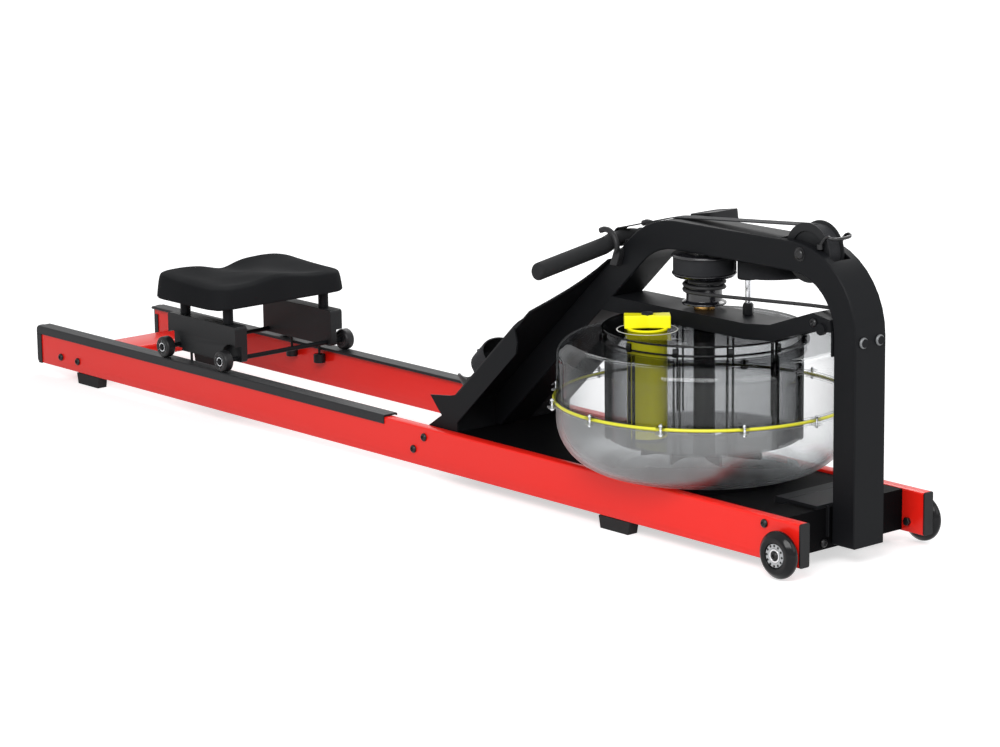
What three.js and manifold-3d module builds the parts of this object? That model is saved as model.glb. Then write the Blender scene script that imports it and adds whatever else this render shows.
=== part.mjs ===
import * as THREE from 'three';
import { mergeVertices } from 'three/addons/utils/BufferGeometryUtils.js';
import Module from 'manifold-3d';

const wasm = await Module();
wasm.setup();

// Sizes in millimetres. X runs from the rear of the rails to the front, Z is up, Y is across.

// Clearances shared by neighbours
const gap = 0.3;
const bolt_gap = 0.4;
const merge_reach = 0.0005;
const through = 5;

// Side rails
const rail_length = 1950;
const rail_height = 66;
const rail_width = 19.6;
const rail_wall = 2;
const rail_corner = 3;
const frame_width = 283;
const foot_height = 20;

// Seat tracks on the rails
const track_clear = 54;
const track_plate = 3.5;
const track_flange = 11;
const track_flange_wall = 1.7;
const track_shelf = 29.6;
const track_lip = 2.4;

// End caps of the rails
const cap_plate = 3;
const cap_plug = 12;
const cap_round = 7;

// Feet
const rear_foot_x = 156;
const front_foot_back = 389;
const foot_length = 70;
const foot_taper = 4;
const foot_stud_radius = 3;
const foot_stud_height = 9;

// Fasteners
const bolt_radius = 3.5;
const bolt_head_radius = 6.5;
const bolt_head_height = 4.2;
const bolt_socket_radius = 3;
const bolt_socket_depth = 2.4;

// Rear cross tube
const rear_tube_x = 100;
const rear_tube_depth = 86;
const rear_tube_low = 9;
const rear_tube_height = 24.5;
const rear_tube_wall = 3;
const rear_tube_corner = 6;
const rear_bolt_spread = 54;
const rear_bolt_drop = 45;

// Front cross member
const front_member_back = 41;
const front_member_depth = 60;
const front_member_low = 3;
const front_member_height = 62;
const front_member_wall = 3;
const front_member_slot_width = 30;
const front_bolt_back = 27.5;
const front_bolt_rise = 11;

// Transport wheels
const roller_back = 29;
const roller_radius = 35.5;
const roller_clearance = 2;
const roller_width = 22;
const roller_hub_radius = 19;
const roller_hub_dish = 2.5;
const roller_tread_round = 7;
const roller_crown_share = 0.3;
const roller_axle_radius = 5;
const roller_axle_head = 6;

// Tank deck between the rails
const deck_back = 854;
const deck_half = 117.5;
const deck_drop = 5;
const deck_plate = 3;
const deck_flange = 24;
const deck_flange_back = 618;
const deck_slot_radius = 9;
const deck_slot_length = 66;
const deck_slots = 4;
const deck_slot_out = 82;
const cradle_radius = 145;
const cradle_width = 10;

// Main arch
const arch_width = 64;
const arch_depth = 44;
const arch_wall = 3;
const arch_over = 5;
const arch_base = 10;
const beam_rise = 381.5;
const front_bend_radius = 86;
const rear_bend_radius = 100;
const rear_bend_back = 370.6;
const leg_angle = 43;
const leg_foot_rise = 2;
const bend_steps = 10;
const arch_edge = 3;
const pulley_slot_rear_back = 161;
const pulley_slot_front_back = 53;
const pulley_slot_width = 35;
const pulley_slot_drop = 30;

// Cross bracket over the tank
const bracket_rise = 246.5;
const bracket_depth = 24;
const bracket_width = 70;
const bracket_wall = 3;
const bracket_knee_back = 215;
const bracket_ramp_back = 160;
const bracket_ramp_rise = 5.5;
const bracket_top_back = 79;
const bracket_top_rise = 36;
const bracket_front_lift = 12;
const bracket_front_clear = 2.5;
const bracket_bolt_spread = 34;
const bracket_bolt_rise = 1.5;
const bracket_boss_radius = 9;
const bracket_boss_height = 4;

// Water tank
const tank_back = 338;
const tank_bottom_rise = 4;
const tank_ring_rise = 111;
const tank_radius = 226;
const tank_wall = 3.5;
const tank_low_round = 78;
const tank_high_round = 26;
const tank_top_rise = 201;
const tank_steps = 36;
const tank_round_steps = 3;
const rim_width = 4;
const rim_plate = 2.6;
const ring_radius = 2.5;
const ring_gap = 0.4;
const ring_sides = 6;
const lug_count = 12;
const lug_reach = 13;
const lug_width = 12;
const lug_bolt_radius = 2.6;
const lug_bolt_stand = 5;
const tank_floor_bore = 14;

// Inner tank with its lid
const inner_radius = 155;
const inner_wall = 3;
const inner_low_rise = 52;
const lid_plate = 3;
const lid_flange_width = 5;
const lid_height = 20.2;
const lid_round = 3;
const lid_clip_width = 9;
const lid_clip_height = 13;
const lid_clip_reach = 4.5;
const inner_rib_spread = 4.5;
const inner_rib_width = 2.2;
const inner_rib_reach = 6;
const inner_drain = 10;
const sleeve_radius = 16.5;
const sleeve_wall = 5;

// Adjuster with its button
const adjuster_x = -38;
const adjuster_y = -83;
const adjuster_radius = 27.5;
const adjuster_length = 165;
const adjuster_wall = 3;
const adjuster_flange = 30;
const adjuster_window_width = 22;
const adjuster_window_height = 80;
const knob_length = 70;
const knob_width = 28;
const knob_height = 22.5;
const knob_waist = 23;
const knob_turn = 49;
const knob_steps = 8;
const button_radius = 9;
const button_height = 4;
const button_stem_radius = 5;
const button_travel = 3;

// Drive shaft with the impeller
const shaft_radius = 9;
const shaft_low_rise = 12;
const impeller_radius = 96;
const impeller_hub_radius = 24;
const impeller_blades = 8;
const blade_height = 23;
const blade_thick = 4;
const blade_low_rise = 20;
const blade_sweep = 24;
const hub_taper_share = 0.8;
const blade_root_share = 0.7;
const blade_height_share = 0.85;
const blade_steps = 4;

// Bearing, spool and bungee drum
const bearing_radius = 16;
const bearing_height = 6.4;
const drum_low_gap = 2;
const drum_radius = 27.5;
const drum_height = 44.5;
const shaft_stub = 2;
const drum_flange = 6.5;
const drum_flange_plate = 3;
const spool_radius = 51;
const spool_plate = 4;
const spool_core = 34.8;
const spool_chamfer = 2;

// Belt
const belt_width = 24;
const belt_thick = 1.8;
const belt_air = 0.5;
const coil_turns = 5;
const coil_steps = 24;
const loop_air = 2.2;
const loop_share = 0.72;
const twist_share = 0.9;
const twist_steps = 10;
const wrap_share = 0.96;

// Bungee cord
const cord_radius = 2.9;
const cord_turns = 2;
const cord_pitch = 8;
const cord_lift = 15;
const cord_air = 0.5;
const cord_sides = 6;
const cord_eye_radius = 6;
const cord_eye_y = -6;
const cord_eye_air = 1.5;

// Guide roller on its post
const guide_back = 260;
const guide_radius = 14;
const guide_flange = 2;
const guide_plate = 2;
const post_radius = 4.5;
const post_shoulder_radius = 6.8;
const post_nut_radius = 8.5;
const post_nut_height = 16;

// Top pulley
const pulley_back = 108;
const pulley_drop = 16.5;
const pulley_radius = 44.5;
const pulley_groove_radius = 38;
const pulley_plate = 3;
const pulley_flange_air = 0.7;
const pulley_hub_radius = 13;
const pulley_web = 8;
const pulley_rim_share = 0.84;
const pulley_holes = 6;
const pulley_hole_radius = 8;
const pulley_steps = 24;
const axle_radius = 4;
const axle_collar_radius = 7;
const axle_head_radius = 8;
const axle_head_height = 4.5;

// Belt retainer over the pulley
const retainer_radius = 2.5;
const retainer_half = 21;
const retainer_back = 30;
const retainer_reach = 52;
const retainer_rise = 27;
const retainer_pinch_share = 0.95;

// Handle
const handle_back = 512;
const handle_rise = 337;
const handle_bar_radius = 11;
const grip_radius = 12.8;
const handle_half = 207;
const grip_inner = 60;
const handle_bend_y = 45;
const handle_bend_drop = 8.4;
const handle_bend_forward = 4;
const handle_end_drop = 27;
const handle_end_forward = 24;
const handle_sides = 10;
const grip_cap = 5;
const grip_cap_step = 0.8;

// Handle rest hooks
const hook_radius = 3.3;
const hook_half = 45;
const hook_back = 485;
const hook_rise = 322;
const hook_reach = 24.5;
const hook_mid_share = 0.6;
const hook_angles = [5, 35, 65, 92, 118];

// Foot frame
const foot_plate_wall = 3;
const foot_plate_band = 33.4;
const foot_plate_lip = 6;
const foot_plate_scoop = [[14.4, 15.6], [27.6, 29.4]];
const foot_plate_tip_run = 18;
const foot_tail_shoulder = 24;
const bulkhead_run = 46;
const foot_plate_head_back = 634;
const foot_plate_step_back = 844;
const foot_plate_tip_rise = 50;
const foot_tail_rear_back = 884;
const foot_tail_front_back = 778;
const foot_plate_tail_low = 10;
const foot_bolt_high_back = 837;
const foot_bolt_high_drop = 16;
const foot_bolt_low_back = 864;
const foot_bolt_low_drop = 40;
const panel_wall = 3;
const panel_start = 46;
const panel_wide_end = 322;
const panel_end = 443;
const panel_nose_half = 35;
const panel_waist_half = 62;

// Footrests with heel cups and straps
const footrest_y = 75;
const footrest_width = 84;
const footrest_start = 50;
const footrest_length = 248;
const footrest_plate = 6;
const footrest_round = 26;
const footrest_ribs = 7;
const footrest_rib_pitch = 13;
const footrest_rib_width = 4;
const footrest_rib_height = 1.6;
const heel_start = 74;
const heel_length = 36;
const heel_height = 25;
const heel_width = 74;
const heel_wall = 4;
const heel_sole = 62;
const heel_slant = 31.5;
const strap_start = 138;
const strap_width = 38;
const strap_crest = 40;
const strap_half = 39;
const strap_thick = 2.4;
const strap_steps = 14;
const strap_bow_share = 0.8;

// Monitor
const monitor_back = 384;
const monitor_y = 68;
const monitor_length = 52;
const monitor_width = 60;
const monitor_thick = 16;
const monitor_tilt = 9;
const monitor_rise = 367;
const monitor_round = 8;
const screen_rear_share = 0.72;
const screen_front_share = 0.6;
const screen_side_share = 0.38;
const screen_recess = 1;
const monitor_arm_width = 24;
const monitor_arm_wall = 3;

// Seat carriage
const seat_x = 478.5;
const wheel_base = 170;
const seat_wheel_radius = 18.5;
const seat_wheel_width = 19;
const seat_wheel_rim = 124;
const seat_wheel_round = 3;
const seat_bearing_radius = 8.5;
const seat_bearing_dish = 1.2;
const seat_axle_radius = 4;
const seat_axle_nut_radius = 6.5;
const seat_axle_nut = 3;
const block_length = 197.5;
const block_inner = 92;
const block_outer = 118;
const block_low_rise = 17;
const block_height = 64;
const block_corner = 5;
const wheel_arch_radius = 27;
const wheel_arch_depth = 13;
const hanger_radius = 2.5;
const hanger_spread = 80;
const hanger_roller_radius = 10.6;
const hanger_roller_height = 15;
const hanger_roller_low = 35;
const plate_thick = 4;
const plate_inset = 34;
const post_gap_height = 29;
const seat_post_radius = 9.3;
const seat_post_spread = 125;
const seat_post_y = 105;

// Cushion
const cushion_shift = -12;
const cushion_length = 198;
const cushion_width = 290;
const cushion_corner = 32;
const cushion_side = 40;
const cushion_flare = 6;
const cushion_rear_lobe = 9;
const cushion_rear_dip = 15;
const cushion_mid_dip = 12;
const cushion_front_crown = 8;
const cushion_front_dip = 1;
const cushion_rear_width_share = 0.24;
const cushion_hip_share = 0.45;
const cushion_hip_width_share = 0.3;
const cushion_front_width_share = 0.35;
const cushion_thigh_share = 0.6;
const cushion_thigh_width_share = 0.25;
const cushion_edge_step = 19.2;
const cushion_edge_drop = 5;
const cushion_ring_shares = [0.22, 0.42, 0.6, 0.76, 0.9, 1];
const cushion_side_shares = [0.1, 0.35, 0.72, 1];

// Places along the rails, all but the rear ones set back from the front end
const front_foot_x = rail_length - front_foot_back;
const front_member_front = rail_length - front_member_back;
const roller_x = rail_length - roller_back;
const deck_rear = rail_length - deck_back;
const deck_flange_rear = rail_length - deck_flange_back;
const rear_bend_x = rail_length - rear_bend_back;
const pulley_slot_rear = rail_length - pulley_slot_rear_back;
const pulley_slot_front = rail_length - pulley_slot_front_back;
const bracket_knee_x = rail_length - bracket_knee_back;
const bracket_ramp_x = rail_length - bracket_ramp_back;
const bracket_top_x = rail_length - bracket_top_back;
const tank_x = rail_length - tank_back;
const guide_x = rail_length - guide_back;
const pulley_x = rail_length - pulley_back;
const handle_x = rail_length - handle_back;
const hook_x = rail_length - hook_back;
const foot_plate_front = rail_length - foot_plate_head_back;
const foot_plate_rear = rail_length - foot_plate_step_back;
const foot_plate_tail_rear = rail_length - foot_tail_rear_back;
const foot_plate_tail_front = rail_length - foot_tail_front_back;
const foot_bolt_high_x = rail_length - foot_bolt_high_back;
const foot_bolt_low_x = rail_length - foot_bolt_low_back;
const monitor_x = rail_length - monitor_back;
const arch_front = rail_length + arch_over;
const track_length = foot_plate_tail_rear - track_clear;

// Levels and planes that follow from the sizes
const rail_low = foot_height;
const rail_top = foot_height + rail_height;
const rail_out = frame_width / 2;
const rail_in = rail_out - rail_width;
const rail_mid = rail_out - rail_width / 2;
const track_top = rail_top + gap + track_plate;
const beam_top = rail_top + beam_rise;
const beam_low = beam_top - arch_depth;
const leg_slope = THREE.MathUtils.degToRad(leg_angle);
const half_turn = Math.PI;
const full_turn = 2 * Math.PI;
const quarter_turn = Math.PI / 2;

// Finishes
const finishes = {
  red_paint: [0xd8261c, 0.34, 0.1],
  black_paint: [0x25272a, 0.5, 0.25],
  black_plastic: [0x1b1c1e, 0.55, 0],
  track_plastic: [0x2b2c2e, 0.6, 0],
  rubber: [0x121212, 0.8, 0],
  tyre: [0x101011, 0.3, 0],
  smoke_clear: [0x8f9694, 0.12, 0],
  yellow: [0xf4e712, 0.4, 0],
  ring_yellow: [0xc9c530, 0.4, 0],
  steel: [0xb4b6b8, 0.3, 0.9],
  brass: [0xb98535, 0.3, 0.9],
  webbing: [0x26272a, 0.85, 0],
  foam: [0x2a2b2d, 0.9, 0],
  cushion: [0x232427, 0.8, 0],
};

const group = new THREE.Group();

// Turn a geometry into a solid and back
function solid_of(geo) {
  const bare = geo.clone();
  bare.deleteAttribute('normal');
  bare.deleteAttribute('uv');
  const merged = mergeVertices(bare, merge_reach);
  return new wasm.Manifold(new wasm.Mesh({
    numProp: 3,
    vertProperties: Float32Array.from(merged.attributes.position.array),
    triVerts: Uint32Array.from(merged.index.array),
  }));
}

function geometry_of(solid) {
  const mesh = solid.getMesh();
  const geo = new THREE.BufferGeometry();
  geo.setAttribute('position', new THREE.BufferAttribute(Float32Array.from(mesh.vertProperties), 3));
  geo.setIndex(new THREE.BufferAttribute(Uint32Array.from(mesh.triVerts), 1));
  return geo;
}

function join(parts) {
  return geometry_of(parts.map(solid_of).reduce((all, next) => all.add(next)));
}

function cut(base, tools) {
  return geometry_of(tools.map(solid_of).reduce((left, tool) => left.subtract(tool), solid_of(base)));
}

// Outline helpers in a plane
function arc(u, v, radius, from, to, steps) {
  const points = [];
  for (let i = 0; i <= steps; i += 1) {
    const angle = from + (to - from) * i / steps;
    points.push(new THREE.Vector2(u + radius * Math.cos(angle), v + radius * Math.sin(angle)));
  }
  return points;
}

function at(u, v) {
  return new THREE.Vector2(u, v);
}

function round_box(u0, v0, u1, v1, radius, steps = 3) {
  return [
    ...arc(u1 - radius, v0 + radius, radius, -quarter_turn, 0, steps),
    ...arc(u1 - radius, v1 - radius, radius, 0, quarter_turn, steps),
    ...arc(u0 + radius, v1 - radius, radius, quarter_turn, half_turn, steps),
    ...arc(u0 + radius, v0 + radius, radius, half_turn, half_turn + quarter_turn, steps),
  ];
}

function slab(points, depth) {
  return new THREE.ExtrudeGeometry(new THREE.Shape(points), { depth, bevelEnabled: false, steps: 1 });
}

// Extrusions of a plane outline along each axis
function along_x(points, x0, x1) {
  const geo = slab(points, x1 - x0);
  const axes = new THREE.Matrix4().makeBasis(
    new THREE.Vector3(0, 1, 0), new THREE.Vector3(0, 0, 1), new THREE.Vector3(1, 0, 0));
  return geo.applyMatrix4(axes).translate(x0, 0, 0);
}

function along_y(points, y0, y1) {
  return slab(points, y1 - y0).rotateX(quarter_turn).translate(0, y1, 0);
}

function along_z(points, z0, z1) {
  return slab(points, z1 - z0).translate(0, 0, z0);
}

function block(x0, x1, y0, y1, z0, z1) {
  const geo = new THREE.BoxGeometry(x1 - x0, y1 - y0, z1 - z0);
  return geo.translate((x0 + x1) / 2, (y0 + y1) / 2, (z0 + z1) / 2);
}

// Turned pieces from a profile of radius and height pairs
function turned(profile, steps) {
  const points = profile.map(([radius, height]) => at(radius, height));
  return new THREE.LatheGeometry(points, steps).rotateX(quarter_turn);
}

function turned_y(profile, steps) {
  return turned(profile, steps).rotateX(-quarter_turn);
}

function closed(profile) {
  return [...profile, profile[0]];
}

function disc(radius, low, high, steps) {
  return turned([[0, low], [radius, low], [radius, high], [0, high]], steps);
}

function rod_z(x, y, radius, z0, z1, steps = 10) {
  return disc(radius, z0, z1, steps).translate(x, y, 0);
}

function rod_y(x, z, radius, y0, y1, steps = 10) {
  return disc(radius, 0, y1 - y0, steps).rotateX(-quarter_turn).translate(x, y0, z);
}

function rod_x(y, z, radius, x0, x1, steps = 10) {
  return disc(radius, 0, x1 - x0, steps).rotateY(quarter_turn).translate(x0, y, z);
}

function tube(points, radius, steps, sides) {
  const path = new THREE.CatmullRomCurve3(points, false, 'centripetal');
  const ring = arc(0, 0, radius, 0, full_turn * (sides - 1) / sides, sides - 1);
  const shape = new THREE.Shape(ring);
  return new THREE.ExtrudeGeometry(shape, { steps, extrudePath: path, bevelEnabled: false });
}

// A flat band carried through stations, each with a centre and the direction of its width
function band(stations, width, thick) {
  const place = [];
  const faces = [];
  stations.forEach(({ centre, across }, i) => {
    const before = stations[Math.max(i - 1, 0)].centre;
    const after = stations[Math.min(i + 1, stations.length - 1)].centre;
    const run = after.clone().sub(before).normalize();
    const side = across.clone().addScaledVector(run, -across.dot(run)).normalize();
    const face = new THREE.Vector3().crossVectors(side, run).normalize();
    [[-1, -1], [1, -1], [1, 1], [-1, 1]].forEach(([a, b]) => {
      const corner = centre.clone().addScaledVector(side, a * width / 2).addScaledVector(face, b * thick / 2);
      place.push(corner.x, corner.y, corner.z);
    });
    if (i > 0) {
      for (let k = 0; k < 4; k += 1) {
        const p = (i - 1) * 4 + k;
        const q = (i - 1) * 4 + (k + 1) % 4;
        faces.push(p, q, q + 4, p, q + 4, p + 4);
      }
    }
  });
  const last = (stations.length - 1) * 4;
  faces.push(0, 2, 1, 0, 3, 2, last, last + 1, last + 2, last, last + 2, last + 3);
  const geo = new THREE.BufferGeometry();
  geo.setAttribute('position', new THREE.BufferAttribute(Float32Array.from(place), 3));
  geo.setIndex(new THREE.BufferAttribute(Uint32Array.from(faces), 1));
  return outward(geo);
}

// Flip a closed mesh whose faces point inwards
function outward(geo) {
  const p = geo.attributes.position;
  const index = geo.index.array;
  const [a, b, c] = [new THREE.Vector3(), new THREE.Vector3(), new THREE.Vector3()];
  let volume = 0;
  for (let i = 0; i < index.length; i += 3) {
    a.fromBufferAttribute(p, index[i]);
    b.fromBufferAttribute(p, index[i + 1]);
    c.fromBufferAttribute(p, index[i + 2]);
    volume += a.dot(b.cross(c));
  }
  if (volume < 0) {
    for (let i = 0; i < index.length; i += 3) {
      [index[i], index[i + 1]] = [index[i + 1], index[i]];
    }
  }
  return geo;
}

function mirrored(geo) {
  const copy = geo.index ? geo.clone() : mergeVertices(geo.clone(), merge_reach);
  copy.scale(1, -1, 1);
  const index = copy.index.array;
  for (let i = 0; i < index.length; i += 3) {
    [index[i], index[i + 1]] = [index[i + 1], index[i]];
  }
  return copy;
}

function add(name, geo, finish) {
  const [color, roughness, metalness] = finishes[finish];
  const bare = geo.clone();
  bare.deleteAttribute('uv');
  bare.deleteAttribute('normal');
  const merged = mergeVertices(bare, merge_reach);
  merged.computeVertexNormals();
  const mesh = new THREE.Mesh(merged, new THREE.MeshStandardMaterial({ color, roughness, metalness }));
  mesh.name = name;
  group.add(mesh);
}

function add_pair(name, far_side, finish) {
  add(`${name}_near`, mirrored(far_side), finish);
  add(`${name}_far`, far_side, finish);
}

// A cap screw running outwards through the far rail from a plate inside it
function rail_bolt(x, z) {
  const face = rail_out + gap;
  const shank = rod_y(x, z, bolt_radius, rail_in - gap - bolt_radius / 2, face + bolt_radius / 2, 8);
  const head = rod_y(x, z, bolt_head_radius, face, face + bolt_head_height);
  const socket = rod_y(x, z, bolt_socket_radius, face + bolt_head_height - bolt_socket_depth,
    face + bolt_head_height + through, 6);
  return cut(join([shank, head]), [socket]);
}

// Rails with their bolt holes and the stub axle of the transport wheel
const roller_z = roller_radius + roller_clearance;
const rear_bolts = [-1, 1].map((side) => [rear_tube_x + side * rear_bolt_spread / 2, rail_top - rear_bolt_drop]);
const foot_bolts = [
  [foot_bolt_high_x, rail_top - foot_bolt_high_drop],
  [foot_bolt_low_x, rail_top - foot_bolt_low_drop],
];
const front_bolts = [[front_member_front - front_bolt_back, rail_top - front_bolt_rise]];
const foot_places = { rear: rear_foot_x, front: front_foot_x };

function make_rail() {
  const skin = along_x(round_box(rail_in, rail_low, rail_out, rail_top, rail_corner, 2), 0, rail_length);
  const core = along_x(
    round_box(rail_in + rail_wall, rail_low + rail_wall, rail_out - rail_wall, rail_top - rail_wall,
      rail_corner - rail_wall, 1),
    -through, rail_length + through);
  const holes = [...rear_bolts, ...foot_bolts, ...front_bolts].map(([x, z]) => (
    rod_y(x, z, bolt_radius + bolt_gap, rail_in - through, rail_out + through, 8)));
  const stud_holes = Object.values(foot_places).map((x) => (
    rod_z(x, rail_mid, foot_stud_radius + bolt_gap, rail_low - through, rail_low + rail_wall + through / 2)));
  const axle = rod_y(roller_x, roller_z, roller_axle_radius, rail_in - roller_axle_head / 2,
    rail_out + gap + roller_width - roller_hub_dish);
  const head = rod_y(roller_x, roller_z, bolt_head_radius, rail_in - roller_axle_head, rail_in, 6);
  return join([cut(skin, [core, ...holes, ...stud_holes]), axle, head]);
}
add_pair('rail', make_rail(), 'red_paint');

// Black tracks: a plate over the rail with an outer flange and an inner lip
function make_track() {
  const out = rail_out + gap + track_flange_wall;
  const inner = out - track_shelf;
  const low = rail_top + gap;
  const outline = [
    at(inner, low - track_lip / 2),
    at(inner + track_lip, low - track_lip / 2),
    at(inner + track_lip, low),
    at(rail_out + gap, low),
    at(rail_out + gap, rail_top - track_flange),
    at(out, rail_top - track_flange),
    at(out, track_top - track_flange_wall),
    at(out - track_flange_wall, track_top),
    at(inner + track_flange_wall, track_top),
    at(inner, track_top - track_flange_wall),
  ];
  return along_x(outline, 0, track_length);
}
add_pair('track', make_track(), 'track_plastic');

// End caps plugged into the rails
function make_cap(front) {
  const out = front ? rail_out : rail_out + gap + track_flange_wall;
  const top = front ? rail_top : track_top;
  const round = front ? rail_corner : cap_round;
  const plate = along_x(round_box(rail_in, rail_low, out, top, round), 0, cap_plate - gap);
  const inset = rail_wall + gap;
  const plug = along_x(
    round_box(rail_in + inset, rail_low + inset, rail_out - inset, rail_top - inset, rail_wall),
    -cap_plug, gap);
  const hollow = along_x(
    round_box(rail_in + 2 * inset, rail_low + 2 * inset, rail_out - 2 * inset, rail_top - 2 * inset, rail_wall),
    -cap_plug - through, -rail_wall);
  const cap = join([plate, cut(plug, [hollow])]);
  if (front) {
    return cap.translate(rail_length + gap, 0, 0);
  }
  return outward(cap.scale(-1, 1, 1)).translate(-gap, 0, 0);
}
add_pair('rear_cap', make_cap(false), 'black_plastic');
add_pair('front_cap', make_cap(true), 'black_plastic');

// Rubber feet screwed under the rails
function make_foot(x) {
  const half = foot_length / 2;
  const top = rail_low - gap;
  const outline = [
    at(x - half + foot_taper, 0),
    at(x + half - foot_taper, 0),
    at(x + half, top),
    at(x - half, top),
  ];
  const pad = along_y(outline, rail_in, rail_out);
  const recess = rod_z(x, rail_mid, bolt_head_radius, -through, foot_height / 3);
  const stud = rod_z(x, rail_mid, foot_stud_radius, top - foot_taper, top + foot_stud_height);
  return join([cut(pad, [recess]), stud]);
}
add_pair('rear_foot', make_foot(foot_places.rear), 'rubber');
add_pair('front_foot', make_foot(foot_places.front), 'rubber');

// Rear cross tube: a red channel open below, with end plates and the bolts welded in
function make_rear_tube() {
  const half = rail_in - gap;
  const x0 = rear_tube_x - rear_tube_depth / 2;
  const x1 = rear_tube_x + rear_tube_depth / 2;
  const z0 = rail_low + rear_tube_low;
  const z1 = z0 + rear_tube_height;
  const wall = rear_tube_wall;
  const skin = along_y(round_box(x0, z0, x1, z1, rear_tube_corner), -half, half);
  const core = along_y(
    round_box(x0 + wall, z0 - through - rear_tube_corner, x1 - wall, z1 - wall, rear_tube_corner - wall),
    -half + wall, half - wall);
  const bolts = rear_bolts.map(([x, z]) => rail_bolt(x, z));
  return join([cut(skin, [core]), ...bolts, ...bolts.map(mirrored)]);
}
add('rear_cross_tube', make_rear_tube(), 'red_paint');

// Front cross member: a black channel open below, behind the column
function make_front_member() {
  const half = rail_in - gap;
  const x1 = front_member_front;
  const x0 = x1 - front_member_depth;
  const z0 = rail_low + front_member_low;
  const z1 = z0 + front_member_height;
  const wall = front_member_wall;
  const skin = block(x0, x1, -half, half, z0, z1);
  const core = block(x0 + wall, x1 - wall, -half + wall, half - wall, z0 - through, z1 - wall);
  const slots = [-1, 1].map((side) => block(
    x0 - through, x0 + wall + through,
    side * half / 2 - front_member_slot_width, side * half / 2 + front_member_slot_width,
    z0 + front_member_height / 3, z1 - front_member_height / 3));
  const bolts = front_bolts.map(([x, z]) => rail_bolt(x, z));
  return join([cut(skin, [core, ...slots]), ...bolts, ...bolts.map(mirrored)]);
}
add('front_cross_member', make_front_member(), 'black_paint');

// Transport wheels on the stub axles
function make_roller() {
  const r = roller_radius;
  const w = roller_width;
  const bore = roller_axle_radius + gap;
  const crown = roller_tread_round;
  const profile = closed([
    [bore, 0],
    [r - crown, 0],
    [r - crown * roller_crown_share, crown * roller_crown_share],
    [r, crown],
    [r, w - crown],
    [r - crown * roller_crown_share, w - crown * roller_crown_share],
    [r - crown, w],
    [roller_hub_radius, w],
    [roller_hub_radius - roller_hub_dish, w - roller_hub_dish],
    [bore, w - roller_hub_dish],
  ]);
  return turned_y(profile, 20).translate(roller_x, rail_out + gap, roller_z);
}
add_pair('transport_wheel', make_roller(), 'tyre');

// Tank deck: a folded tray between the rails with a raised cradle ring and lightening slots
function make_deck() {
  const top = rail_top - deck_drop;
  const low = top - deck_plate;
  const front = front_member_front - front_member_depth - gap;
  const half = deck_half;
  const plate = block(deck_rear, front, -half, half, low, top);
  const edge = rail_in - gap;
  const wings = [-1, 1].flatMap((side) => {
    const inner = side * (half - deck_plate);
    const outer = side * edge;
    const y0 = Math.min(inner, outer);
    const y1 = Math.max(inner, outer);
    const lip = side > 0 ? [edge - deck_plate, edge] : [-edge, -edge + deck_plate];
    return [
      block(deck_flange_rear, front, y0, y1, low, top),
      block(deck_flange_rear, front, ...lip, low - deck_flange, top),
    ];
  });
  const cradle_top = rail_top + tank_bottom_rise - gap;
  const cradle = turned(closed([
    [cradle_radius - cradle_width, low + deck_plate / 2],
    [cradle_radius, low + deck_plate / 2],
    [cradle_radius, cradle_top],
    [cradle_radius - cradle_width, cradle_top],
  ]), 40).translate(tank_x, 0, 0);
  const fit_box = block(tank_x - cradle_radius - through, tank_x + cradle_radius + through,
    -edge, edge, low, cradle_top + through);
  const trimmed = geometry_of(solid_of(cradle).intersect(solid_of(fit_box)));
  const slots = [];
  for (let i = 0; i < deck_slots; i += 1) {
    const angle = full_turn * (i + 0.5) / deck_slots;
    const slot = along_z(
      round_box(-deck_slot_length / 2, -deck_slot_radius, deck_slot_length / 2, deck_slot_radius,
        deck_slot_radius - gap),
      low - through, top + through);
    slot.translate(0, deck_slot_out, 0).rotateZ(angle).translate(tank_x, 0, 0);
    slots.push(slot);
  }
  return join([cut(plate, slots), ...wings, trimmed]);
}
add('tank_deck', make_deck(), 'black_paint');

// Main arch: one bent rectangular tube, open at both ends, slotted for the pulley
const column_back = arch_front - arch_depth;
const front_bend_x = column_back - front_bend_radius;
const front_bend_z = beam_low - front_bend_radius;
const rear_bend_z = beam_low - rear_bend_radius;
const leg_end_z = rail_top - deck_drop + gap + leg_foot_rise;

// Point on the leg's upper face at a height
function leg_top_x(z) {
  const outer = rear_bend_radius + arch_depth;
  const x = rear_bend_x - outer * Math.sin(leg_slope);
  const top = rear_bend_z + outer * Math.cos(leg_slope);
  return x - (top - z) / Math.tan(leg_slope);
}

function leg_low_x(z) {
  const x = rear_bend_x - rear_bend_radius * Math.sin(leg_slope);
  const top = rear_bend_z + rear_bend_radius * Math.cos(leg_slope);
  return x - (top - z) / Math.tan(leg_slope);
}

function arch_outline(inset, spare) {
  const outer = arch_depth - inset;
  const base = rail_low + arch_base - spare;
  const foot = leg_end_z - spare;
  const skew = inset / Math.sin(leg_slope);
  return [
    at(arch_front - inset, base),
    ...arc(front_bend_x, front_bend_z, front_bend_radius + outer, 0, quarter_turn, bend_steps),
    ...arc(rear_bend_x, rear_bend_z, rear_bend_radius + outer, quarter_turn, quarter_turn + leg_slope,
      bend_steps / 2),
    at(leg_top_x(foot) + skew, foot),
    at(leg_low_x(foot) - skew, foot),
    ...arc(rear_bend_x, rear_bend_z, rear_bend_radius + inset, quarter_turn + leg_slope, quarter_turn,
      bend_steps / 2),
    ...arc(front_bend_x, front_bend_z, front_bend_radius + inset, quarter_turn, 0, bend_steps),
    at(column_back + inset, base),
  ];
}

const eye_z = rail_top + bracket_rise + bracket_top_rise + cord_radius + cord_eye_air;
const pulley_z = beam_top - pulley_drop;
const column_bolt_z = rail_top + bracket_rise + bracket_bolt_rise;
const hook_z = rail_top + hook_rise;

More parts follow.
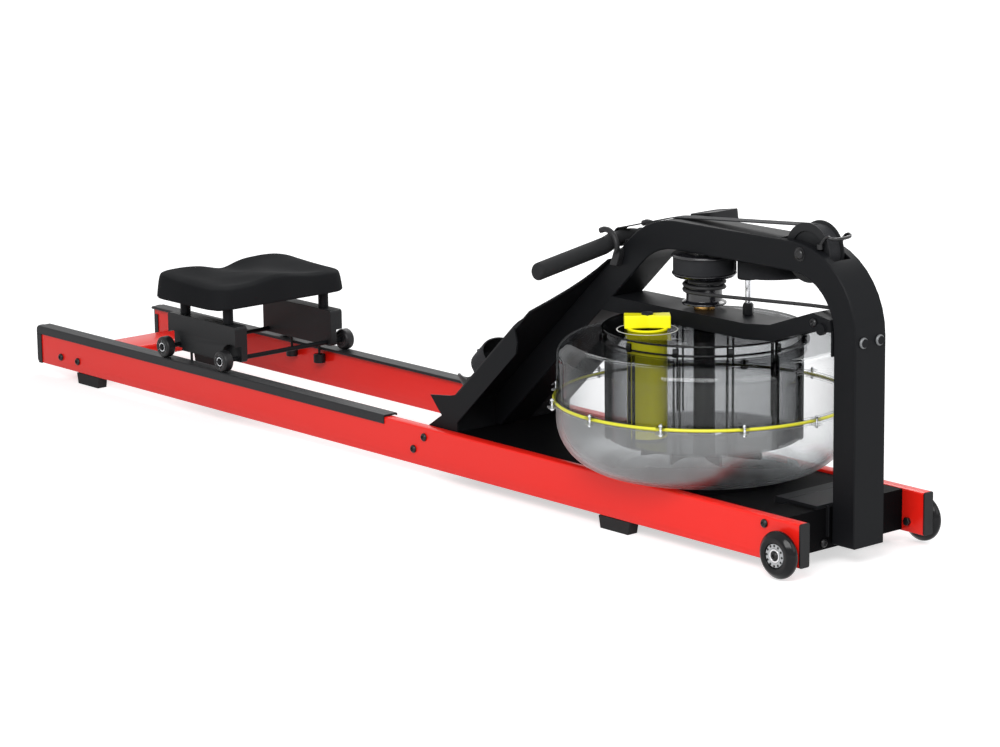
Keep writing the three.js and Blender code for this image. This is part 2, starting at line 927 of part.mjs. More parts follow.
function make_arch() {
  const half = arch_width / 2;
  const body = new THREE.ExtrudeGeometry(new THREE.Shape(arch_outline(arch_edge / 2, 0)), {
    depth: arch_width - arch_edge,
    bevelEnabled: true,
    bevelSegments: 1,
    bevelThickness: arch_edge / 2,
    bevelSize: arch_edge / 2,
  }).rotateX(quarter_turn).translate(0, half - arch_edge / 2, 0);
  const core = along_y(arch_outline(arch_wall, through + arch_edge), -half + arch_wall, half - arch_wall);
  const foot_trim = block(leg_top_x(leg_end_z) - through, leg_low_x(leg_end_z) + through, -half - through,
    half + through, leg_end_z - through, leg_end_z);
  const slot = block(pulley_slot_rear, pulley_slot_front, -pulley_slot_width / 2, pulley_slot_width / 2,
    beam_low - pulley_slot_drop, beam_top + through);
  const axle_hole = rod_y(pulley_x, pulley_z, axle_radius + bolt_gap, -half - through, half + through);
  const hook_hole = rod_y(hook_x, hook_z, hook_radius + bolt_gap, -half - through, half + through);
  const bolt_holes = [-1, 1].map((side) => rod_x(side * bracket_bolt_spread / 2, column_bolt_z,
    bolt_radius + bolt_gap, column_back - through, arch_front + through));
  const eye = rod_x(cord_eye_y, eye_z, cord_eye_radius, column_back - arch_depth, column_back + arch_wall * 2);
  return cut(body, [core, foot_trim, slot, axle_hole, hook_hole, ...bolt_holes, eye]);
}
add('main_arch', make_arch(), 'black_paint');

// Cross bracket: an inverted channel with a cranked front end bolted through the column
const bracket_top = rail_top + bracket_rise + gap;
const bracket_low = bracket_top - bracket_depth;

function bracket_outline(inset, stretch) {
  const top = bracket_top - inset;
  const low = bracket_low - stretch;
  const front = column_back - bracket_front_clear;
  const clear = gap / Math.sin(leg_slope) + inset;
  return [
    at(leg_low_x(low) + clear, low),
    at(bracket_knee_x, low),
    at(bracket_ramp_x, low + bracket_ramp_rise),
    at(bracket_top_x, bracket_top + bracket_top_rise - bracket_depth - bracket_wall - stretch),
    at(front - inset, bracket_top + bracket_front_lift - stretch),
    at(front - inset, bracket_top + bracket_front_lift + bracket_wall + inset),
    at(front - inset - bracket_front_clear, bracket_top + bracket_top_rise - bracket_wall * 2 - inset),
    at(bracket_top_x, bracket_top + bracket_top_rise - inset),
    at(bracket_ramp_x - bracket_ramp_rise, top + bracket_ramp_rise),
    at(bracket_knee_x, top),
    at(leg_low_x(top) + clear, top),
  ];
}

function make_bracket() {
  const half = bracket_width / 2;
  const skin = along_y(bracket_outline(0, 0), -half, half);
  const core = along_y(bracket_outline(bracket_wall, bracket_depth), -half + bracket_wall, half - bracket_wall);
  const front = column_back - gap * 3;
  const inner = half - bracket_wall / 2;
  const end_plate = block(front - bracket_wall, front, -inner, inner,
    bracket_low, bracket_top + bracket_front_lift + bracket_wall / 2);
  const bolts = [-1, 1].flatMap((side) => {
    const y = side * bracket_bolt_spread / 2;
    const face = arch_front + gap;
    return [
      rod_x(y, column_bolt_z, bolt_radius, front - bracket_wall / 2, face + bolt_head_height / 2),
      rod_x(y, column_bolt_z, bolt_head_radius, face, face + bolt_head_height),
    ];
  });
  const boss_x = column_back - bracket_top_rise + bracket_depth - bracket_boss_radius;
  const boss_z = bracket_top + bracket_ramp_rise + bracket_boss_radius;
  const boss = rod_y(boss_x, boss_z, bracket_boss_radius, -half - bracket_boss_height, -half + bracket_wall);
  const bore = rod_z(tank_x, 0, shaft_radius + gap * 2, bracket_low, bracket_top + through, 20);
  return cut(join([cut(skin, [core]), end_plate, boss, ...bolts]), [bore]);
}
add('cross_bracket', make_bracket(), 'black_paint');

// Water tank shells with bolted flanges and the seal ring between them
const tank_low = rail_top + tank_bottom_rise;
const ring_z = rail_top + tank_ring_rise;
const tank_top = rail_top + tank_top_rise;
const rim_out = tank_radius + rim_width;
const rim_half = ring_radius + ring_gap;

function corner(u, v, radius, from, to) {
  return arc(u, v, radius, from, to, tank_round_steps).map((p) => [p.x, p.y]);
}

function lug_pattern(make) {
  const pieces = [];
  for (let i = 0; i < lug_count; i += 1) {
    pieces.push(...make().map((piece) => piece.rotateZ(full_turn * i / lug_count)));
  }
  return pieces;
}

function make_lower_shell() {
  const r = tank_radius;
  const round = tank_low_round;
  const low = tank_low;
  const rim = ring_z - rim_half;
  const bend = corner(r - round, low + round, round, -quarter_turn, 0);
  const inner = corner(r - round, low + round, round - tank_wall, 0, -quarter_turn);
  const profile = closed([
    [tank_floor_bore, low],
    ...bend,
    [r, rim - rim_plate],
    [rim_out, rim - rim_plate],
    [rim_out, rim],
    [r - gap, rim],
    [r - gap, ring_z - gap],
    [r - tank_wall, ring_z - gap],
    ...inner,
    [tank_floor_bore, low + tank_wall],
  ]);
  const shell = turned(profile, tank_steps);
  const floor = disc(tank_floor_bore + tank_wall, low, low + tank_wall, 20);
  const bolt_r = rim_out + lug_reach / 2;
  const span = rim_half + rim_plate + gap;
  const lugs = lug_pattern(() => [along_z(
    round_box(r + rim_width / 2, -lug_width / 2, rim_out + lug_reach, lug_width / 2, lug_width / 3, 1),
    rim - rim_plate, rim)]);
  const studs = lug_pattern(() => [rod_z(bolt_r, 0, lug_bolt_radius, rim - rim_plate - lug_bolt_stand,
    ring_z + span + lug_bolt_stand, 6)]);
  return join([shell, floor, ...lugs, ...studs]).translate(tank_x, 0, 0);
}
add('tank_lower_shell', make_lower_shell(), 'smoke_clear');

function make_upper_shell() {
  const r = tank_radius;
  const rim = ring_z + rim_half;
  const round = tank_high_round;
  const side = tank_top - round;
  const mouth = inner_radius + gap;
  const profile = closed([
    [r - tank_wall, ring_z + gap],
    [r - gap, ring_z + gap],
    [r - gap, rim],
    [rim_out, rim],
    [rim_out, rim + rim_plate],
    [r, rim + rim_plate],
    ...corner(r - round, side, round, 0, quarter_turn),
    [mouth, tank_top],
    [mouth, tank_top - tank_wall],
    ...corner(r - round, side, round - tank_wall, quarter_turn, 0),
  ]);
  const bolt_r = rim_out + lug_reach / 2;
  const lugs = lug_pattern(() => {
    const ear = along_z(
      round_box(r + rim_width / 2, -lug_width / 2, rim_out + lug_reach, lug_width / 2, lug_width / 3, 1),
      rim, rim + rim_plate);
    return [cut(ear, [rod_z(bolt_r, 0, lug_bolt_radius + bolt_gap, rim - through, rim + rim_plate + through, 6)])];
  });
  return join([turned(profile, tank_steps), ...lugs]).translate(tank_x, 0, 0);
}
add('tank_upper_shell', make_upper_shell(), 'smoke_clear');

const seal_r = tank_radius + ring_radius + ring_gap;
const ring_profile = arc(seal_r, 0, ring_radius, 0, full_turn, ring_sides).map((p) => [p.x, p.y]);
ring_profile[ring_profile.length - 1] = ring_profile[0];
add('tank_seal_ring', turned(ring_profile, tank_steps).translate(tank_x, 0, ring_z), 'ring_yellow');

// Inner tank hung in the mouth of the upper shell: ribbed wall, raised lid with clips, shaft sleeve
const lid_z = tank_top + gap;
const lid_top = lid_z + lid_height;
const adjuster_bore = adjuster_radius + gap * 2;

function make_inner_tank() {
  const low = rail_top + inner_low_rise;
  const r = inner_radius;
  const body = r - inner_rib_reach;
  const sleeve_in = sleeve_radius - sleeve_wall;
  const step = lid_z + lid_plate;
  const neck = lid_z - inner_rib_reach;
  const profile = closed([
    [sleeve_in, lid_top - lid_plate],
    [r - inner_wall, lid_top - lid_plate],
    [r - inner_wall, lid_z + inner_wall / 2],
    [body - inner_wall, neck + inner_wall / 2],
    [body - inner_wall, low + inner_wall],
    [sleeve_radius + inner_drain, low + inner_wall],
    [sleeve_radius + inner_drain, low],
    [body, low],
    [body, neck],
    [r, lid_z],
    [r + lid_flange_width, lid_z],
    [r + lid_flange_width, step],
    [r, step],
    [r, lid_top - lid_round],
    [r - lid_round, lid_top],
    [sleeve_in, lid_top],
  ]);
  const sleeve = turned(closed([
    [sleeve_in, low - inner_wall],
    [sleeve_radius, low - inner_wall],
    [sleeve_radius, lid_top - lid_plate / 2],
    [sleeve_in, lid_top - lid_plate / 2],
  ]), 20);
  const ribs = lug_pattern(() => {
    const far = r - gap * 2;
    return [-1, 1].map((side) => block(body - inner_wall / 2, far, -inner_rib_width / 2, inner_rib_width / 2,
      low + inner_wall / 2, lid_z - inner_rib_reach / 2).translate(0, side * inner_rib_spread, 0));
  });
  const clips = lug_pattern(() => [block(r - inner_wall / 2, r + lid_clip_reach,
    -lid_clip_width / 2, lid_clip_width / 2, step - lid_plate / 2, step + lid_clip_height)]);
  const bore = rod_z(adjuster_x, adjuster_y, adjuster_bore, lid_top - lid_plate * 2, lid_top + through, 24);
  return cut(join([turned(profile, tank_steps), sleeve, ...ribs, ...clips]), [bore]).translate(tank_x, 0, 0);
}
add('inner_tank', make_inner_tank(), 'smoke_clear');

// Yellow adjuster: windowed tube with a waisted wing knob over the lid
const knob_low = lid_top + gap * 2;
const knob_top = knob_low + knob_height;

function make_adjuster() {
  const tube_low = lid_top - adjuster_length;
  const skirt = turned(closed([
    [adjuster_radius - adjuster_wall, tube_low],
    [adjuster_radius, tube_low],
    [adjuster_radius, knob_low + adjuster_wall / 2],
    [adjuster_radius - adjuster_wall, knob_low + adjuster_wall / 2],
  ]), 24);
  const cap = disc(adjuster_flange, knob_low, knob_low + adjuster_wall, 24);
  const half = knob_length / 2;
  const wing = [];
  for (let i = 0; i <= knob_steps; i += 1) {
    const u = -half + knob_length * i / knob_steps;
    const share = Math.abs(u) / half;
    wing.push(at(u, -(knob_waist + (knob_width - knob_waist) * share ** 2) / 2));
  }
  const outline = [...wing, ...wing.slice().reverse().map((p) => at(p.x, -p.y))];
  const grip = along_z(outline, knob_low + adjuster_wall / 2, knob_top);
  grip.rotateZ(THREE.MathUtils.degToRad(knob_turn));
  const window = block(-adjuster_radius * 2, adjuster_radius * 2, -adjuster_window_width / 2,
    adjuster_window_width / 2, tube_low - through, tube_low + adjuster_window_height);
  const well = disc(button_radius + bolt_gap, knob_top - button_height - button_travel, knob_top + through, 16);
  const stem = disc(button_stem_radius + bolt_gap, knob_low - through, knob_top, 16);
  const body = cut(join([skirt, cap, grip]), [window, well, stem]);
  return body.translate(tank_x + adjuster_x, adjuster_y, 0);
}
add('adjuster', make_adjuster(), 'yellow');

function make_button() {
  const low = knob_top - button_height;
  const cap = disc(button_radius, low, knob_top + button_height - button_travel / 3, 16);
  const stem = disc(button_stem_radius, knob_low + adjuster_wall, low + button_height / 2, 16);
  return join([cap, stem]).translate(tank_x + adjuster_x, adjuster_y, 0);
}
add('adjuster_button', make_button(), 'black_plastic');

// Drive shaft and impeller on the tank axis
const bearing_top = bracket_top + gap + bearing_height;
const drum_low = bearing_top + drum_low_gap;
const spool_low = drum_low + drum_height;
const spool_high = spool_low + belt_width + belt_air * 2 + spool_plate * 2;
const shaft_low = tank_low + shaft_low_rise;
const blade_low = tank_low + blade_low_rise;

add('drive_shaft', disc(shaft_radius, shaft_low, spool_high + shaft_stub, 16).translate(tank_x, 0, 0), 'steel');

function make_impeller() {
  const bore = shaft_radius + gap;
  const hub = turned(closed([
    [bore, blade_low],
    [impeller_hub_radius, blade_low],
    [impeller_hub_radius * hub_taper_share, blade_low + blade_height],
    [bore, blade_low + blade_height],
  ]), 24);
  const blades = [];
  for (let i = 0; i < impeller_blades; i += 1) {
    const inner = impeller_hub_radius * blade_root_share;
    const reach = impeller_radius - inner;
    const lead = [];
    for (let k = 0; k <= blade_steps; k += 1) {
      lead.push(at(inner + reach * k / blade_steps, blade_sweep * (k / blade_steps) ** 2));
    }
    const outline = [...lead, ...lead.slice().reverse().map((p) => at(p.x, p.y + blade_thick))];
    blades.push(along_z(outline, blade_low, blade_low + blade_height * blade_height_share)
      .rotateZ(full_turn * i / impeller_blades));
  }
  return join([hub, ...blades]).translate(tank_x, 0, 0);
}
add('impeller', make_impeller(), 'black_plastic');

// Brass bearing on the bracket
const bearing = turned(closed([
  [shaft_radius + gap, bracket_top + gap],
  [bearing_radius, bracket_top + gap],
  [bearing_radius, bearing_top - gap * 2],
  [bearing_radius - gap * 4, bearing_top],
  [shaft_radius + gap, bearing_top],
]), 16);
add('shaft_bearing', bearing.translate(tank_x, 0, 0), 'brass');

// Spool for the belt over the drum for the bungee, one moulding
function make_spool() {
  const bore = shaft_radius + gap;
  const top = spool_high;
  const profile = closed([
    [bore, drum_low],
    [drum_radius + drum_flange, drum_low],
    [drum_radius + drum_flange, drum_low + drum_flange_plate],
    [drum_radius, drum_low + drum_flange_plate * 2],
    [drum_radius, spool_low - drum_flange_plate],
    [spool_radius - spool_chamfer * 2, spool_low],
    [spool_radius, spool_low + spool_chamfer],
    [spool_radius, spool_low + spool_plate],
    [spool_core, spool_low + spool_plate],
    [spool_core, top - spool_plate],
    [spool_radius, top - spool_plate],
    [spool_radius, top - spool_chamfer],
    [spool_radius - spool_chamfer, top],
    [bore, top],
  ]);
  return turned(profile, 24).translate(tank_x, 0, 0);
}
add('belt_spool', make_spool(), 'black_plastic');

// Wound belt: a spiral of real turns between the spool plates
const belt_z = spool_low + spool_plate + belt_air + belt_width / 2;
const coil_pitch = belt_thick + belt_air + gap / 3;
const coil_first = spool_core + belt_air + belt_thick / 2;
const coil_last = coil_first + coil_pitch * coil_turns;
const guide_y = guide_radius + belt_air + belt_thick / 2;
const guide_ride = guide_radius + belt_air + belt_thick / 2;
const lead_ride = coil_last + coil_pitch;
const guide_away = Math.hypot(guide_x - tank_x, guide_y);
const lead_angle = Math.atan2(guide_y, guide_x - tank_x) + Math.acos((lead_ride + guide_ride) / guide_away);
const coil_end = lead_angle + full_turn / coil_steps / 2;
const upright = new THREE.Vector3(0, 0, 1);
const crosswise = new THREE.Vector3(0, 1, 0);
const coil_stations = [];
for (let i = 0; i <= coil_turns * coil_steps; i += 1) {
  const turns = i / coil_steps;
  const radius = coil_first + coil_pitch * turns;
  const angle = coil_end + full_turn * (coil_turns - turns);
  coil_stations.push({
    centre: new THREE.Vector3(tank_x + radius * Math.cos(angle), radius * Math.sin(angle), belt_z),
    across: upright,
  });
}
add('belt_coil', band(coil_stations, belt_width, belt_thick), 'webbing');

// Lower belt run: off the spool, round the guide roller, a quarter twist, then under and over the pulley
const groove_r = pulley_groove_radius + belt_air + belt_thick / 2;

function make_lower_belt() {
  const stations = [];
  const off = new THREE.Vector2(Math.cos(lead_angle), Math.sin(lead_angle));
  const start = new THREE.Vector2(tank_x, 0).addScaledVector(off, lead_ride);
  const roller = new THREE.Vector2(guide_x, guide_y);
  const meet = roller.clone().addScaledVector(off, -guide_ride);
  for (let i = 0; i < 4; i += 1) {
    const p = start.clone().lerp(meet, i / 4);
    stations.push({ centre: new THREE.Vector3(p.x, p.y, belt_z), across: upright });
  }
  arc(roller.x, roller.y, guide_ride, lead_angle + half_turn, half_turn + quarter_turn, 5).forEach((p) => {
    stations.push({ centre: new THREE.Vector3(p.x, p.y, belt_z), across: upright });
  });
  const under = pulley_z - groove_r;
  for (let i = 1; i <= twist_steps; i += 1) {
    const share = i / twist_steps;
    const turn = quarter_turn * Math.min(share / twist_share, 1);
    stations.push({
      centre: new THREE.Vector3(roller.x + (pulley_x - roller.x) * share, 0, belt_z + (under - belt_z) * share),
      across: new THREE.Vector3(0, Math.sin(turn), Math.cos(turn)),
    });
  }
  arc(pulley_x, pulley_z, groove_r, -quarter_turn, quarter_turn * wrap_share, 14).slice(1).forEach((p) => {
    stations.push({ centre: new THREE.Vector3(p.x, 0, p.y), across: crosswise });
  });
  return band(stations, belt_width, belt_thick);
}
add('belt_lower_run', make_lower_belt(), 'webbing');

// Upper belt run: from the pulley, over the rear bend, to a sewn loop round the handle bar
const handle_z = rail_top + handle_rise;

function make_upper_belt() {
  const ride = rear_bend_radius + arch_depth + belt_air + belt_thick / 2;
  const from = new THREE.Vector2(pulley_x, pulley_z + groove_r);
  const bend = new THREE.Vector2(rear_bend_x, rear_bend_z);
  const away = bend.clone().sub(from);
  const slope = Math.atan2(-away.y, -away.x);
  const lean = slope - Math.asin(ride / away.length());
  const loop_r = handle_bar_radius + loop_air + belt_thick / 2;
  const to = new THREE.Vector2(handle_x, handle_z + loop_r);
  const back = to.clone().sub(bend);
  const last = Math.atan2(back.y, back.x) - Math.acos(ride / back.length());
  const points = [];
  const first = quarter_turn + Math.abs(lean);
  const touch = at(bend.x + ride * Math.cos(first), bend.y + ride * Math.sin(first));
  for (let i = 0; i < 6; i += 1) {
    points.push(at(from.x + (touch.x - from.x) * i / 6, from.y + (touch.y - from.y) * i / 6));
  }
  points.push(...arc(bend.x, bend.y, ride, first, last, 6));
  const end = points[points.length - 1];
  for (let i = 1; i < 3; i += 1) {
    points.push(at(end.x + (to.x - end.x) * i / 3, end.y + (to.y - end.y) * i / 3));
  }
  points.push(...arc(handle_x, handle_z, loop_r, quarter_turn, quarter_turn + full_turn * loop_share, 14));
  return band(points.map((p) => ({ centre: new THREE.Vector3(p.x, 0, p.y), across: crosswise })),
    belt_width, belt_thick);
}
add('belt_upper_run', make_upper_belt(), 'webbing');

// Bungee cord: turns on the drum, then through an eye into the hollow column
function bungee_path() {
  const ride = drum_radius + cord_radius + cord_air;
  const base = drum_low + drum_flange_plate * 2 + cord_lift;
  const path = [];
  const count = cord_turns * coil_steps;
  for (let i = 0; i <= count; i += 1) {
    const share = i / count;
    const angle = -quarter_turn - full_turn * cord_turns * (1 - share);
    path.push(new THREE.Vector3(ride * Math.cos(angle) + tank_x, ride * Math.sin(angle),
      base + cord_pitch * cord_turns * (1 - share)));
  }
  const inside = column_back + arch_depth / 2;
  path.push(new THREE.Vector3(tank_x + drum_radius, -ride + cord_air * 2, base + cord_air));
  path.push(new THREE.Vector3(column_back - arch_depth, cord_eye_y, eye_z));
  path.push(new THREE.Vector3(column_back, cord_eye_y, eye_z));
  path.push(new THREE.Vector3(inside - cord_radius, cord_eye_y, eye_z - arch_depth / 2));
  path.push(new THREE.Vector3(inside, cord_eye_y, eye_z - arch_depth));
  path.push(new THREE.Vector3(inside, cord_eye_y, eye_z - arch_depth * 3 / 2));
  return path;
}
add('bungee_cord', tube(bungee_path(), cord_radius, cord_turns * coil_steps + coil_steps, cord_sides), 'rubber');

// Guide roller on a steel post with its nut on the bracket
const roller_low = belt_z - belt_width / 2 - belt_air;
const roller_high = belt_z + belt_width / 2 + belt_air;

function make_guide_roller() {
  const bore = post_radius + gap;
  const rim = guide_radius + guide_flange;
  return turned(closed([
    [bore, roller_low - guide_plate],
    [rim, roller_low - guide_plate],
    [rim, roller_low],
    [guide_radius, roller_low],
    [guide_radius, roller_high],
    [rim, roller_high],
    [rim, roller_high + guide_plate],
    [bore, roller_high + guide_plate],
  ]), 16).translate(guide_x, guide_y, 0);
}
add('guide_roller', make_guide_roller(), 'black_plastic');

function make_guide_post() {
  const low = bracket_top + gap;
  const nut = rod_z(guide_x, guide_y, post_nut_radius, low, low + post_nut_height, 6);
  const post = rod_z(guide_x, guide_y, post_radius, low + post_nut_height / 2, roller_high + guide_plate);
  const shoulder = rod_z(guide_x, guide_y, post_shoulder_radius, roller_low - guide_plate * 3,
    roller_low - guide_plate - gap);
  return join([nut, post, shoulder]);
}
add('guide_post', make_guide_post(), 'steel');

// Top pulley with a belt groove and lightening holes, on its axle in the arch
function make_pulley() {
  const inner = belt_width / 2 + pulley_flange_air;
  const out = inner + pulley_plate;
  const bore = axle_radius + gap;
  const rim_low = pulley_groove_radius * pulley_rim_share;
  const profile = closed([
    [bore, -out],
    [pulley_hub_radius, -out],
    [pulley_hub_radius, -pulley_web / 2],
    [rim_low, -pulley_web / 2],
    [rim_low, -out],
    [pulley_radius, -out],
    [pulley_radius, -out + pulley_plate / 2],
    [pulley_groove_radius, -inner],
    [pulley_groove_radius, inner],
    [pulley_radius, out - pulley_plate / 2],
    [pulley_radius, out],
    [rim_low, out],
    [rim_low, pulley_web / 2],
    [pulley_hub_radius, pulley_web / 2],
    [pulley_hub_radius, out],
    [bore, out],
  ]);
  const mid = (pulley_hub_radius + rim_low) / 2;
  const holes = [];
  for (let i = 0; i < pulley_holes; i += 1) {
    const angle = full_turn * i / pulley_holes;
    holes.push(rod_y(mid * Math.cos(angle), mid * Math.sin(angle), pulley_hole_radius, -out, out, 8));
  }
  return cut(turned_y(profile, pulley_steps), holes).translate(pulley_x, 0, pulley_z);
}
add('top_pulley', make_pulley(), 'black_plastic');

function make_axle() {
  const half = arch_width / 2;
  const face = half + gap;
  const side = belt_width / 2 + pulley_flange_air + pulley_plate + gap;
  const pin = rod_y(pulley_x, pulley_z, axle_radius, -face - axle_head_height, face + axle_head_height);
  const head = rod_y(pulley_x, pulley_z, axle_head_radius, -face - axle_head_height, -face, 12);
  const nut = rod_y(pulley_x, pulley_z, axle_head_radius, face, face + axle_head_height, 6);
  const inner = half - arch_wall - gap;
  const collars = [
    rod_y(pulley_x, pulley_z, axle_collar_radius, -inner, -side),
    rod_y(pulley_x, pulley_z, axle_collar_radius, side, inner),
  ];
  return join([pin, head, nut, ...collars]);
}
add('pulley_axle', make_axle(), 'black_paint');

// Wire retainer that keeps the belt on the pulley
function make_retainer() {
  const foot_x = pulley_x + retainer_back;
  const over = front_bend_radius + arch_depth;
  const surface = (x) => front_bend_z + Math.sqrt(over ** 2 - (x - front_bend_x) ** 2);
  const start = surface(foot_x - retainer_radius * 2) + gap;
  const reach = pulley_x + retainer_reach;
  const high = pulley_z + retainer_rise;
  const half = retainer_half;
  const side = (y) => [
    new THREE.Vector3(foot_x, y, start + retainer_radius * 2),
    new THREE.Vector3(foot_x + retainer_back / 2, y, high + retainer_radius),
    new THREE.Vector3(reach, y * retainer_pinch_share, high),
  ];
  const path = [...side(-half), ...side(half).reverse()];
  const wire = tube(path, retainer_radius, 22, 6);
  const feet = [-1, 1].map((s) => rod_z(foot_x, s * half, retainer_radius * 2,
    start, start + retainer_radius * 3));
  return join([wire, ...feet]);
}
add('belt_retainer', make_retainer(), 'black_paint');

// Handle: bent bar with foam grips and end caps
function handle_point(y) {
  const reach = Math.abs(y);
  const bend = Math.min(reach / handle_bend_y, 1);
  const rest = Math.max(reach - handle_bend_y, 0) / (handle_half - handle_bend_y);
  const forward = handle_bend_forward * bend ** 2 + (handle_end_forward - handle_bend_forward) * rest;
  const drop = handle_bend_drop * bend ** 2 + (handle_end_drop - handle_bend_drop) * rest;
  return new THREE.Vector3(handle_x + forward, y, handle_z - drop);
}

function bar(y0, y1, radius, steps) {
  const points = [];
  for (let i = 0; i <= 8; i += 1) {
    points.push(handle_point(y0 + (y1 - y0) * i / 8));
  }
  return tube(points, radius, steps, handle_sides);
}

function make_handle() {
  const core = bar(-handle_half + grip_cap / 2, handle_half - grip_cap / 2, handle_bar_radius, 18);
  const grips = [-1, 1].map((side) => {
    const ends = [side * grip_inner, side * (handle_half - grip_cap)].sort((a, b) => a - b);
    return bar(...ends, grip_radius, 6);
  });
  const caps = [-1, 1].map((side) => {
    const ends = [side * (handle_half - grip_cap * 1.5), side * handle_half].sort((a, b) => a - b);
    return bar(...ends, grip_radius - grip_cap_step, 1);
  });
  return join([core, ...grips, ...caps]);
}
add('handle', make_handle(), 'foam');

// Handle rest: one bent wire through the leg with a hook on each side
function make_rest() {
  const grab = handle_point(hook_half);
  const turn = (angle) => {
    const a = THREE.MathUtils.degToRad(angle);
    return [grab.x + hook_reach * Math.cos(a), grab.z + hook_reach * Math.sin(a)];
  };
  const side = (s) => [
    new THREE.Vector3(hook_x, s * hook_half * hook_mid_share, hook_z),
    new THREE.Vector3(hook_x, s * (hook_half - hook_radius), hook_z),
    ...hook_angles.map((angle) => {
      const [x, z] = turn(angle);
      return new THREE.Vector3(x, s * hook_half, z);
    }),
  ];
  return tube([...side(-1).reverse(), ...side(1)], hook_radius, 44, 6);
}
add('handle_rest', make_rest(), 'rubber');

// Foot frame: two side plates and the inclined panel that lies on the leg
const slope_cos = Math.cos(leg_slope);
const slope_sin = Math.sin(leg_slope);
const slope_x = leg_top_x(rail_top);

function on_slope(geo) {
  return geo.rotateY(-leg_slope).translate(slope_x, 0, rail_top);
}

function slope_point(s, n) {
  return at(slope_x + s * slope_cos - n * slope_sin, rail_top + s * slope_sin + n * slope_cos);
}

function make_foot_frame() {
  const rise = (x) => rail_top + (x - slope_x) * Math.tan(leg_slope);
  const band_drop = foot_plate_band / slope_cos;
  const outer = rail_in - gap;
  const lip = foot_plate_lip;
  const front = foot_plate_front;
  const outline = [
    at(foot_plate_tail_rear, rail_low + foot_plate_tail_low),
    at(foot_plate_tail_front, rail_low + foot_plate_tail_low),
    at(foot_plate_tail_front, rise(foot_plate_tail_front) + lip - band_drop),
    at(front, rise(front) + lip - band_drop),
    at(front + lip / 2, rise(front) + lip / 2 - band_drop / 2),
    at(front - lip / 2, rise(front) + lip / 4),
    at(front - lip * 2, rise(front - lip * 2) + lip),
    at(foot_plate_tail_front, rise(foot_plate_tail_front) + lip),
    at(foot_plate_tail_front - foot_plate_tip_run, rail_top + foot_plate_tip_rise + lip),
    at(foot_plate_rear, rail_top + foot_plate_tip_rise),
    ...foot_plate_scoop.map(([u, v]) => at(foot_plate_rear + u, rail_top + foot_plate_tip_rise - v)),
    at(foot_plate_tail_rear, rail_top - foot_tail_shoulder),
  ];
  const side = along_y(outline, outer - foot_plate_wall, outer);
  const bolts = foot_bolts.map(([x, z]) => rail_bolt(x, z));
  const half = outer - foot_plate_wall / 2;
  const nose = [];
  for (let i = 1; i <= 5; i += 1) {
    const share = i / 5;
    const s = panel_wide_end + (panel_end - panel_wide_end) * share;
    const sag = Math.sin(half_turn * share) * (half / 2 + panel_nose_half / 2 - panel_waist_half);
    nose.push(at(s, half + (panel_nose_half - half) * share - sag));
  }
  const edge = [at(panel_start, half), at(panel_wide_end, half), ...nose];
  const sheet = [...edge.slice().reverse(), ...edge.map((p) => at(p.x, -p.y))].reverse();
  const panel = on_slope(along_z(sheet, gap, gap + panel_wall));
  const wall_x = slope_x + bulkhead_run;
  const under = (gap + panel_wall / 2) / slope_cos;
  const bulkhead = along_y([
    at(wall_x, rail_top - deck_drop + gap),
    at(wall_x + foot_plate_wall, rail_top - deck_drop + gap),
    at(wall_x + foot_plate_wall, rise(wall_x + foot_plate_wall) + under),
    at(wall_x, rise(wall_x) + under),
  ], arch_width / 2 + gap, half);
  const far = [side, bulkhead, ...bolts];
  return join([panel, ...far, ...far.map(mirrored)]);
}
add('foot_frame', make_foot_frame(), 'black_paint');

// Footrests, heel cups and straps lie on the panel, one set for each foot
const rest_low = gap * 2 + panel_wall;
const rest_top = rest_low + footrest_plate;

function make_footrest() {
  const y0 = footrest_y - footrest_width / 2;
  const y1 = footrest_y + footrest_width / 2;
  const s1 = footrest_start + footrest_length;
  const plate = along_z(round_box(footrest_start, y0, s1, y1, footrest_round, 4), rest_low, rest_top);
  const ribs = [];
  for (let i = 0; i < footrest_ribs; i += 1) {
    const s = s1 - footrest_round / 2 - footrest_rib_pitch * (i + 1);
    ribs.push(block(s, s + footrest_rib_width, y0 + footrest_round / 2, y1 - footrest_round / 2,
      rest_top - footrest_rib_height, rest_top + footrest_rib_height));
  }
  return on_slope(join([plate, ...ribs]));
}
add_pair('footrest', make_footrest(), 'black_plastic');

function make_heel_cup() {
  const low = rest_top + gap;
  const half = heel_width / 2;
  const wall = heel_wall;
  const cup = [
    at(heel_start + half, half),
    ...arc(heel_start + half, 0, half, quarter_turn, half_turn + quarter_turn, 10).slice(1),
    at(heel_start + half, -half + wall),
    ...arc(heel_start + half, 0, half - wall, half_turn + quarter_turn, quarter_turn, 10).slice(1),
  ];
  const wallpiece = along_z(cup, low, low + heel_height);
  const slant = block(heel_start + heel_length, heel_start + heel_width, -half - through, half + through,
    low + heel_wall, low + heel_height + through);
  slant.translate(-heel_start - heel_length, 0, -low - heel_wall).rotateY(-THREE.MathUtils.degToRad(heel_slant));
  slant.translate(heel_start + heel_length, 0, low + heel_wall);
  const sole = along_z([
    at(heel_start + heel_sole, -half),
    at(heel_start + heel_sole, half),
    at(heel_start + half, half),
    ...arc(heel_start + half, 0, half, quarter_turn, half_turn + quarter_turn, 10).slice(1),
  ], low, low + wall / 2);
  return on_slope(join([cut(wallpiece, [slant]), sole]).translate(0, footrest_y, 0));
}
add_pair('heel_cup', make_heel_cup(), 'black_plastic');

